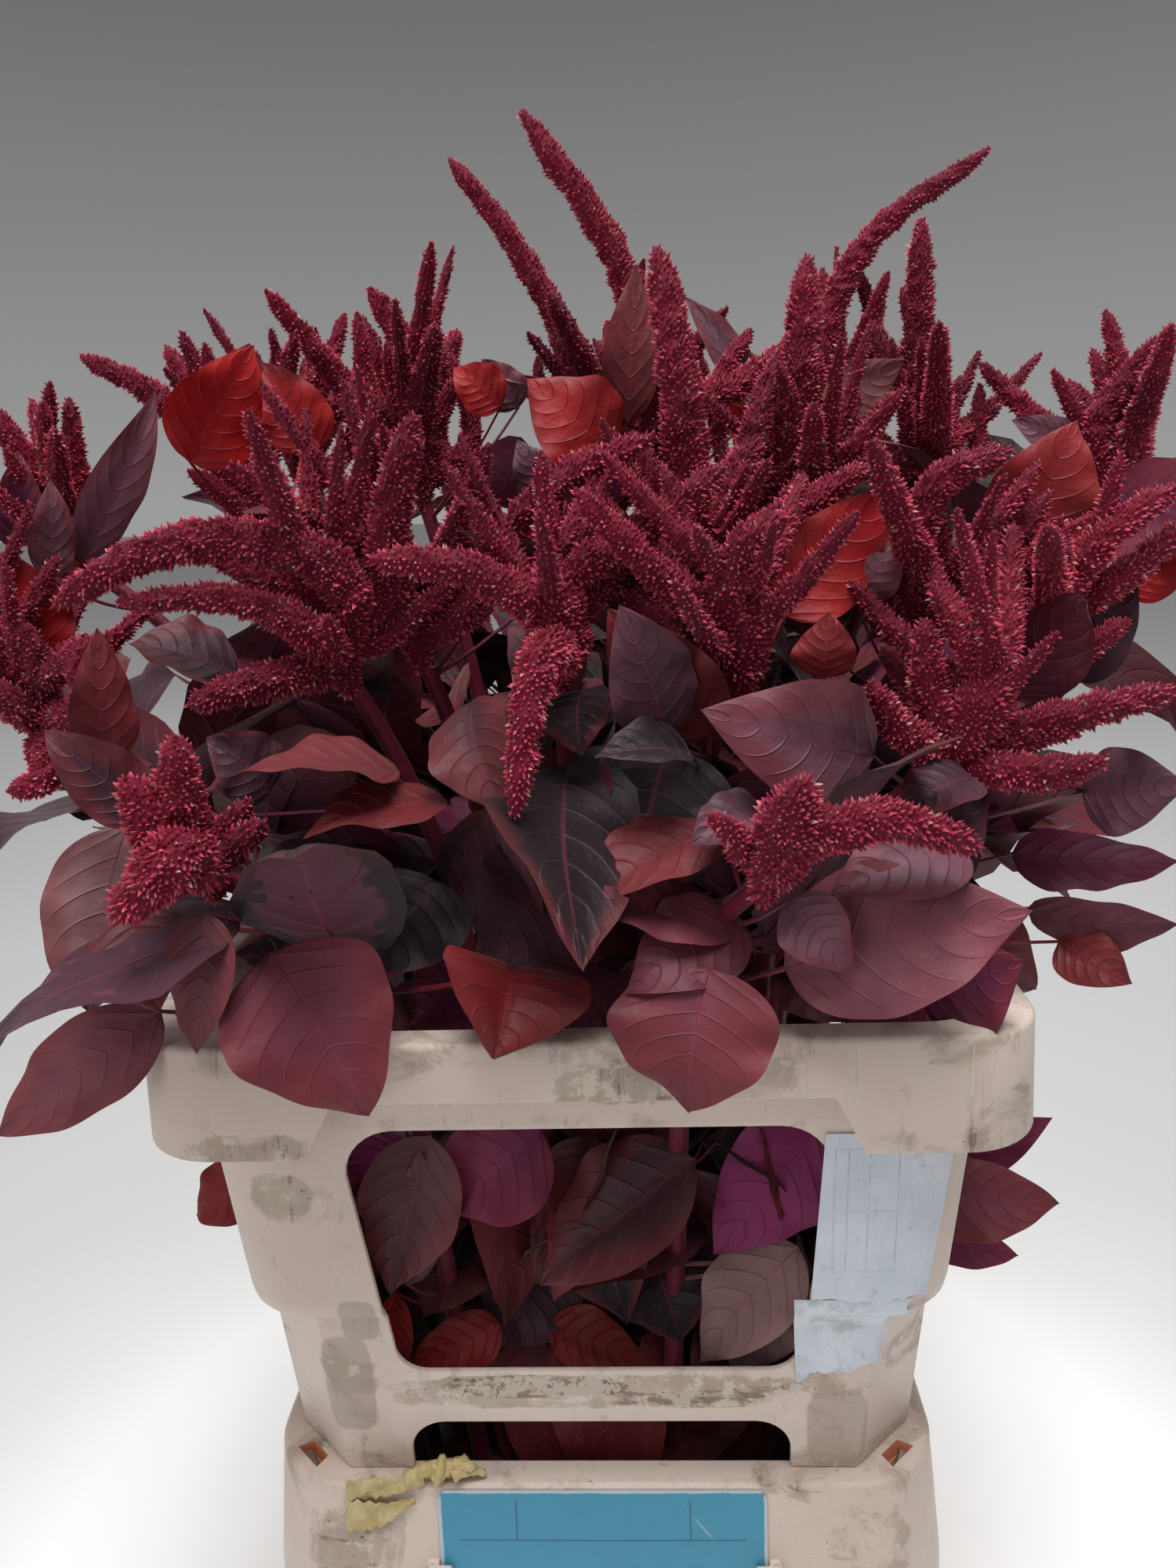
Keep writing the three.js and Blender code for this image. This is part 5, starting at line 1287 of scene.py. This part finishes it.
def makeContainer():
    m = plasticFinish("collarPlastic", collarGrime)
    piece = carved("collarShell", shell(collar, True), collarCutters(), collar["edge"], m.material)
    standFor(piece, "collar")
    m = plasticFinish("bucketPlastic", bucketGrime)
    piece = carved("bucketShell", shell(bucket, False), bucketCutters(), bucket["edge"], m.material)
    hooks = meshObject("hooks", joined(lugs()), m.material)
    outwards(hooks.data)
    soft = hooks.modifiers.new("edges", "BEVEL")
    soft.width, soft.segments, soft.limit_method = bucket["lugEdge"] * mm, 2, "ANGLE"
    baked(hooks)
    whole = bmesh.new()
    whole.from_mesh(piece.data)
    whole.from_mesh(hooks.data)
    whole.to_mesh(piece.data)
    whole.free()
    bpy.data.objects.remove(hooks)
    standFor(piece, "bucket")


makeContainer()
print("container")


# Card, stickers, tape and water: the stickers lie on the collar's wall and foot, whose rings these are, the
# card on the bucket's band and the tape on its rim
wallRings, footRings, stepAt = collar["rings"][6:12], collar["rings"][12:14], 338


def ringAt(rings, z):  # the collar's inset and corner at a height
    return (np.interp(-z, [-ring[0] for ring in rings], [ring[k] for ring in rings]) for k in (1, 2))


# A point of a front and its direction out, s mm round from the middle
def outside(s, halfX, halfY, corner, z, cut):
    flat = halfX - corner
    far = abs(s)
    if far <= flat:
        point, out = vec(far, -halfY, z), vec(0, -1, 0)
    elif cut:
        d = (far - flat) / math.sqrt(2)
        point, out = vec(flat + d, -halfY + d, z), vec(math.sqrt(0.5), -math.sqrt(0.5), 0)
    else:
        a = (far - flat) / corner
        out = vec(math.sin(a), -math.cos(a), 0)
        point = vec(flat, -(halfY - corner), z) + out * corner
    side = vec(math.copysign(1, s), 1, 1)
    return point * side, out * side


def collarSkin(s, z):
    rings = wallRings if z >= stepAt else footRings
    inset, corner = ringAt(rings, z)
    return outside(s, collar["x"] - inset, collar["y"] - inset, corner, z, rings is footRings)


def bandSkin(s, z):
    b = bucket
    return outside(s, b["x"] - bandInset(z), b["y"] - bandInset(z), b["corner"], z, False)


def twoSided(low, high, across):  # both sides and the rim of a sheet, from the points of its rows
    count = len(low)
    faces = []
    for a in range(count - across):
        if (a + 1) % across:
            b = a + across
            faces += [(a, b, b + 1, a + 1), (a + count, a + 1 + count, b + 1 + count, b + count)]
    edge = [*range(across - 1), *range(across - 1, count - 1, across), *range(count - 1, count - across, -1),
            *range(count - across, 0, -across)]
    faces += [(a, b, b + count, a + count) for a, b in zip(edge, edge[1:] + edge[:1])]
    return np.array(low + high), faces


def sheetShape(place, skin, lift, thick, across, down):  # place(u, w) gives (s, z, how far it stands off)
    low, high, u2, w2 = [], [], [], []
    for w in np.linspace(0, 1, down):
        for u in np.linspace(0, 1, across):
            s, z, off = place(u, w)
            point, out = skin(s, z)
            low.append(point + out * (lift + off))
            high.append(point + out * (lift + off + thick))
            u2.append(s)
            w2.append(z)
    return *twoSided(low, high, across), {"s": np.array(u2 * 2, float), "z": np.array(w2 * 2, float)}


def addSheet(name, node, shape, material, sharpFrom):
    piece = meshObject(name, shape, material)
    outwards(piece.data)
    piece.data.set_sharp_from_angle(angle=math.radians(sharpFrom))
    standFor(piece, node)


def ragged(random, count, size):  # a torn edge: steps that add up
    walk = np.cumsum(random.normal(0, 1, count))
    walk -= np.linspace(walk[0], walk[-1], count)
    walk = walk / max(1, np.abs(walk).max()) * size
    return np.interp(np.linspace(0, 1, 60), np.linspace(0, 1, count), walk)


card = {"half": 69, "z": (254, 153), "round": 2.5, "warp": 0.9, "curl": 1.3, "thick": 0.4, "lift": 0.35,
        "grid": (41, 31), "columns": (-36, 37), "lines": (231.5, 207, 183), "line": (0.15, 0.4),
        "blues": ((76, 134, 158), (68, 150, 182)), "ink": (34, 66, 92), "worn": (206, 216, 220),
        "dirt": (84, 96, 98)}
sticker = {"from": 90, "to": 119, "z": (424, 348), "thick": 0.2, "turn": 46, "line": (0.2, 0.5), "seed": 21,
           "columns": (94, 99, 107, 118), "rows": (361, 389, 417), "torn": (3.2, 1.4, 4, 3),
           "whites": ((206, 214, 226), (224, 228, 236)), "ink": (112, 120, 136), "dirt": (164, 158, 152)}


def cardPlace(u, w):
    top, bottom = card["z"]
    z = top + (bottom - top) * w
    d = min(top - z, z - bottom, card["round"])
    r = card["round"]
    half = card["half"] - (r - math.sqrt(r * r - (r - d) ** 2))
    bulge = card["warp"] * math.sin(math.pi * w) * (1 - 0.6 * abs(2 * u - 1))
    return half * (2 * u - 1), z, bulge + card["curl"] * max(0, u - 0.86) * max(0, w - 0.75) * 20


def makeCard():
    m = Finish("card", {"Specular IOR Level": 0.5})
    s, z = m.attribute("s"), m.attribute("z")
    shade = 1 - m.noise(60, 4, 0.6).step(0.35, 0.75) * 0.25
    ink = 0
    for at in card["columns"]:
        ink = m.calc("MAXIMUM", ink, s.near(at, *card["line"]) * z.step(231, 232) * (1 - z.step(249, 250)))
    for at in card["lines"]:
        ink = m.calc("MAXIMUM", ink, z.near(at, *card["line"]) * (1 - abs(s).step(60, 60.5)))
    color = (ink * 0.75).over(shade.between(card["blues"]), card["ink"])
    edge = m.calc("MAXIMUM", abs(s).step(66, 69), z.step(251.5, 254))
    worn = (edge + m.noise(90, 4, 0.7) - 1.02).step(0, 0.2)
    crease = (s + z * 0.8).near(232, 0.1, 0.9) * m.noise(40, 2).step(0.45, 0.6)
    color = m.calc("MAXIMUM", worn * 0.8, crease * 0.4).over(color, card["worn"])
    dirt = m.noise(130, 5, 0.7).step(0.62, 0.75)
    color = (dirt * 0.35).over(color, card["dirt"])
    m.feed(color=color, roughness=dirt * 0.3 + worn * 0.3 + 0.34,
           normal=m.bump(m.noise(18, 3) + crease * 0.4 + m.noise(700, 2) * 0.04, 0.0007, 0.5))
    shape = sheetShape(cardPlace, bandSkin, card["lift"], card["thick"], *card["grid"])
    addSheet("orderCard", "card", shape, m.material, 50)


def paperFinish(name, old):
    m = Finish(name, {"Specular IOR Level": 0.45})
    s, z = m.attribute("s"), m.attribute("z")
    color = m.noise(34, 4, 0.6).step(0.3, 0.7).between(sticker["whites"])
    if not old:
        ink = 0
        for at in sticker["columns"]:
            line = s.near(at, *sticker["line"]) * z.step(360, 361) * (1 - z.step(417, 418))
            ink = m.calc("MAXIMUM", ink, line * 0.3)
        for at in sticker["rows"]:
            line = z.near(at, *sticker["line"]) * s.step(93.5, 94) * (1 - s.step(118, 118.5))
            ink = m.calc("MAXIMUM", ink, line * 0.25)
        color = (m.noise(120, 4, 0.7).step(0.3, 0.6) * ink).over(color, sticker["ink"])
    dirt = (m.noise(90, 5, 0.7) + (0.12 if old else 0)).step(0.58, 0.76)
    color = (dirt * 0.5).over(color, sticker["dirt"])
    wrinkle = m.noise(1, 4, 0.55, m.stretched(120, 120, 40), 1.2)
    m.feed(color=color, roughness=dirt * 0.25 + 0.38,
           normal=m.bump(wrinkle + m.noise(26, 2) * 0.8, 0.0014, 0.7))
    return m.material


def makeStickers():
    random = np.random.default_rng(sticker["seed"])
    bottomEdge, rightEdge, lowEdge, sideEdge = (ragged(random, 24, size) for size in sticker["torn"])
    grid = np.linspace(0, 1, 60)

    def stickerPlace(u, w):
        low, high = sticker["z"]
        z = low + (high - low) * w + np.interp(u, grid, bottomEdge) * max(0, w - 0.7) / 0.3 * (0.4 + u)
        _, corner = ringAt(wallRings, z)
        start = sticker["from"] - 4 * w
        bent = math.radians(sticker["turn"] - 6 * w) * corner
        end = sticker["to"] - 5 * w + bent - 2 + np.interp(w, grid, rightEdge)
        end = min(end, collar["x"] - 22 - corner + corner * math.radians(sticker["turn"]))
        loose = 0.7 * max(0, w - 0.9) / 0.1 + 0.5 * max(0, 0.06 - u) / 0.06  # at its lower and left edges
        return start + (end - start) * u, z, loose + 0.25 * math.sin(9 * u + 4 * w) ** 2

    def oldPlace(u, w):
        z = 347.2 - 45 * w + np.interp(u, grid, lowEdge) * w + 9 * u * w
        end = 126 - 11 * w + np.interp(w, grid, sideEdge)
        start = 79.5 + 2 * w
        soft = math.exp(-((z - stepAt + 1) / 3.5) ** 2) * 1.6  # bridges the step
        return start + (end - start) * u, z, soft + 0.3 * math.sin(7 * u + 5 * w) ** 2

    shape = sheetShape(stickerPlace, collarSkin, 0.35, sticker["thick"], 41, 45)
    addSheet("stickerSheet", "sticker", shape, paperFinish("stickerPaper", False), 60)
    shape = sheetShape(oldPlace, collarSkin, 0.3, sticker["thick"], 31, 31)
    addSheet("oldStickerSheet", "old_sticker", shape, paperFinish("oldStickerPaper", True), 60)


def ribbon(path, widths, thick, random):  # a crumpled strip whose width hangs down
    path = np.array(path, float)
    count, across = 34, 9
    t = np.linspace(0, 1, count)
    knots = np.linspace(0, 1, len(path))
    middle = np.stack([np.interp(t, knots, path[:, k]) for k in range(3)], axis=1)
    width = np.interp(t, knots, widths)
    folds = random.uniform(-0.9, 0.9, (count, across))
    top, bottom = [], []
    for i in range(count):
        for j in range(across):
            v = j / (across - 1) - 0.5
            point = middle[i] - up * v * width[i] * (1 + 0.1 * math.sin(40 * t[i]))
            point = point - vec(0, 1, 0) * (folds[i, j] * 0.55 + 0.5 * math.sin(7 * v + 9 * t[i]))
            top.append(point)
            bottom.append(point + vec(0, thick, 0))
    return *twoSided(top, bottom, across), {"t": np.zeros(2 * len(top))}


def makeTape():
    m = Finish("tapePlastic", {"Specular IOR Level": 0.55})
    cloud = m.noise(90, 4, 0.6)
    tone = cloud.step(0.3, 0.7).between(((190, 164, 104), (212, 192, 144)))
    fold = m.noise(1, 3, 0.6, m.stretched(420, 420, 140))
    color = (fold.step(0.55, 0.75) * 0.5).over(tone, (158, 132, 84))
    m.feed(color=color, roughness=cloud * 0.25 + 0.26, normal=m.bump(fold + cloud * 0.4, 0.0012, 0.8))
    random = np.random.default_rng(5)
    y, z = -bucket["y"], bucket["high"]
    route = [(-107, y - 3.2, z - 1), (-96, y - 3, z + 1), (-84, y - 2.6, z + 2.5), (-74, y - 2.2, z + 4.5)]
    band = ribbon(route, (12, 9.5, 8.5, 7), 0.5, random)
    route = [(-108, y - 4.4, z - 12), (-98, y - 4.2, z - 12), (-88, y - 4, z - 9.5), (-78, y - 3.4, z - 5)]
    flap = ribbon(route, (16, 15, 9, 2), 0.4, random)
    # Strands of the knot: both ends past the rim's edge, and how thick they are
    strands = [((-82, -2.2, 4), (-61, 1.6, 7), 3.4, 2.8), ((-77, -2.6, 7.5), (-64, 3, 3.2), 2.8, 3.2),
               ((-74, 2.4, 3.4), (-54, 0.4, 7.6), 3.2, 2.6), ((-70, -2.2, 3.4), (-57, 3, 8.2), 2.6, 2.8),
               ((-62, -1.6, 5.4), (-49, 2, 2.8), 2.8, 1.4)]
    knot = []
    for start, end, thick, thin in strands:
        way = np.linspace(0, 1, 12)[:, None]
        line = vec(*start) * (1 - way) + vec(*end) * way + vec(0, y + 1.4, z)
        line[:, 2] += 1.8 * np.sin(way[:, 0] * math.pi)
        knot.append(tube(line, np.linspace(thick, thin, 12), 10, random.uniform(0.78, 1.15, (12, 10))))
    turn = np.linspace(0, 2 * math.pi, 30)[:-1]
    loop = [-68 + 1.4 * np.sin(turn), y + 1.6 + 4.2 * np.cos(turn), z + 5.6 + 4.8 * np.sin(turn)]
    wrap = tube(np.stack(loop, axis=1), np.full(29, 1.9), 8, random.uniform(0.75, 1.2, (29, 8)))
    shapes = [(points, faces, {"t": np.zeros(len(points))}) for points, faces, _ in (band, flap, wrap, *knot)]
    piece = meshObject("tapeStrip", joined(shapes), m.material)
    outwards(piece.data)
    standFor(piece, "tape")


def finishWater():
    m = Finish("waterSurface", {"Specular IOR Level": 0.6})
    depth = m.axis(2).step(0.06, 0.092)
    silt = m.noise(30, 4, 0.6)
    color = (depth * 0.5 + silt * 0.3).between(((46, 52, 42), (96, 104, 88)))
    m.feed(color=color, roughness=silt * 0.08 + 0.04, normal=m.bump(m.noise(60, 2), 0.0006, 0.3))
    for slot in nodes["water"].material_slots:
        slot.material = m.material


makeCard()
makeStickers()
makeTape()
finishWater()
print("card, stickers, tape and water")


# Stage and light


def makeStage():
    # Painted light: greys by the distance from the middle, as a share of how far they reach, to a power, near
    # white close to the object where its shadow falls and darker further out, like a pool of light that fades
    floorWithPaintedLight = {"rings": (0.4, 0.9, 1.6, 3, 6, 12, 30), "sides": 96, "reach": 12, "power": 0.4, "greys": (
        (0.238, 1), (0.25, 0.95), (0.263, 0.81), (0.275, 0.71), (0.29, 0.63), (0.305, 0.58),
        (0.32, 0.56), (0.35, 0.54), (0.38, 0.525), (0.42, 0.53), (0.474, 0.515), (0.5, 0.52),
        (0.6, 0.56), (0.75, 0.45), (1, 0.36))}
    bm = bmesh.new()
    rings = []
    for radius in floorWithPaintedLight["rings"]:
        turns = [k * 2 * math.pi / floorWithPaintedLight["sides"] for k in range(floorWithPaintedLight["sides"])]
        rings.append([bm.verts.new((radius * math.cos(a), radius * math.sin(a), 0)) for a in turns])
    bm.faces.new(rings[0])
    for a, b in zip(rings, rings[1:]):
        for k in range(floorWithPaintedLight["sides"]):
            j = (k + 1) % floorWithPaintedLight["sides"]
            bm.faces.new((a[k], b[k], b[j], a[j]))
    mesh = bpy.data.meshes.new("floorWithPaintedLight")
    bm.to_mesh(mesh)
    bm.free()
    m = Finish("floorWithPaintedLight", {"Roughness": 0.9, "Specular IOR Level": 0.1})
    flat = m.make("ShaderNodeVectorMath", {"operation": "LENGTH"}, {0: m.place}, 1)
    m.feed(color=((flat / floorWithPaintedLight["reach"]) ** floorWithPaintedLight["power"]).greys(floorWithPaintedLight["greys"]))
    mesh.materials.append(m.material)
    added("floorWithPaintedLight", mesh)


def makeLight(name, place, aim, size, watts):
    data = bpy.data.lights.new(name, "AREA")
    data.shape = "DISK"
    data.size = size
    data.energy = watts
    light = added(name, data)
    light.location = place
    light.rotation_euler = (Vector(aim) - Vector(place)).to_track_quat("-Z", "Y").to_euler()


def makeWorld():
    world = bpy.data.worlds.new("studio")
    bpy.context.scene.world = world
    world.use_nodes = True
    w = Wire(world.node_tree)
    way = w.make("ShaderNodeTexCoord", output=0)
    high = w.make("ShaderNodeSeparateXYZ", {}, {0: way}, 2)
    grey = high.greys(((0, 0.33), (0.35, 0.15), (0.6, 0.3), (1, 0.9)))
    background = world.node_tree.nodes["Background"]
    world.node_tree.links.new(grey.socket, background.inputs["Color"])
    background.inputs["Strength"].default_value = 1


makeStage()
makeWorld()
makeLight("key", (0.12, -0.6, 2.6), (0, 0, 0.5), 1.3, 46)
makeLight("fill", (-1.6, -2, 1), (0, 0, 0.4), 1.6, 9)
makeLight("back", (0.3, 1.8, 2.2), (0, 0, 0.6), 1.4, 22)
bpy.context.scene.view_settings.view_transform = "Standard"
print("stage")
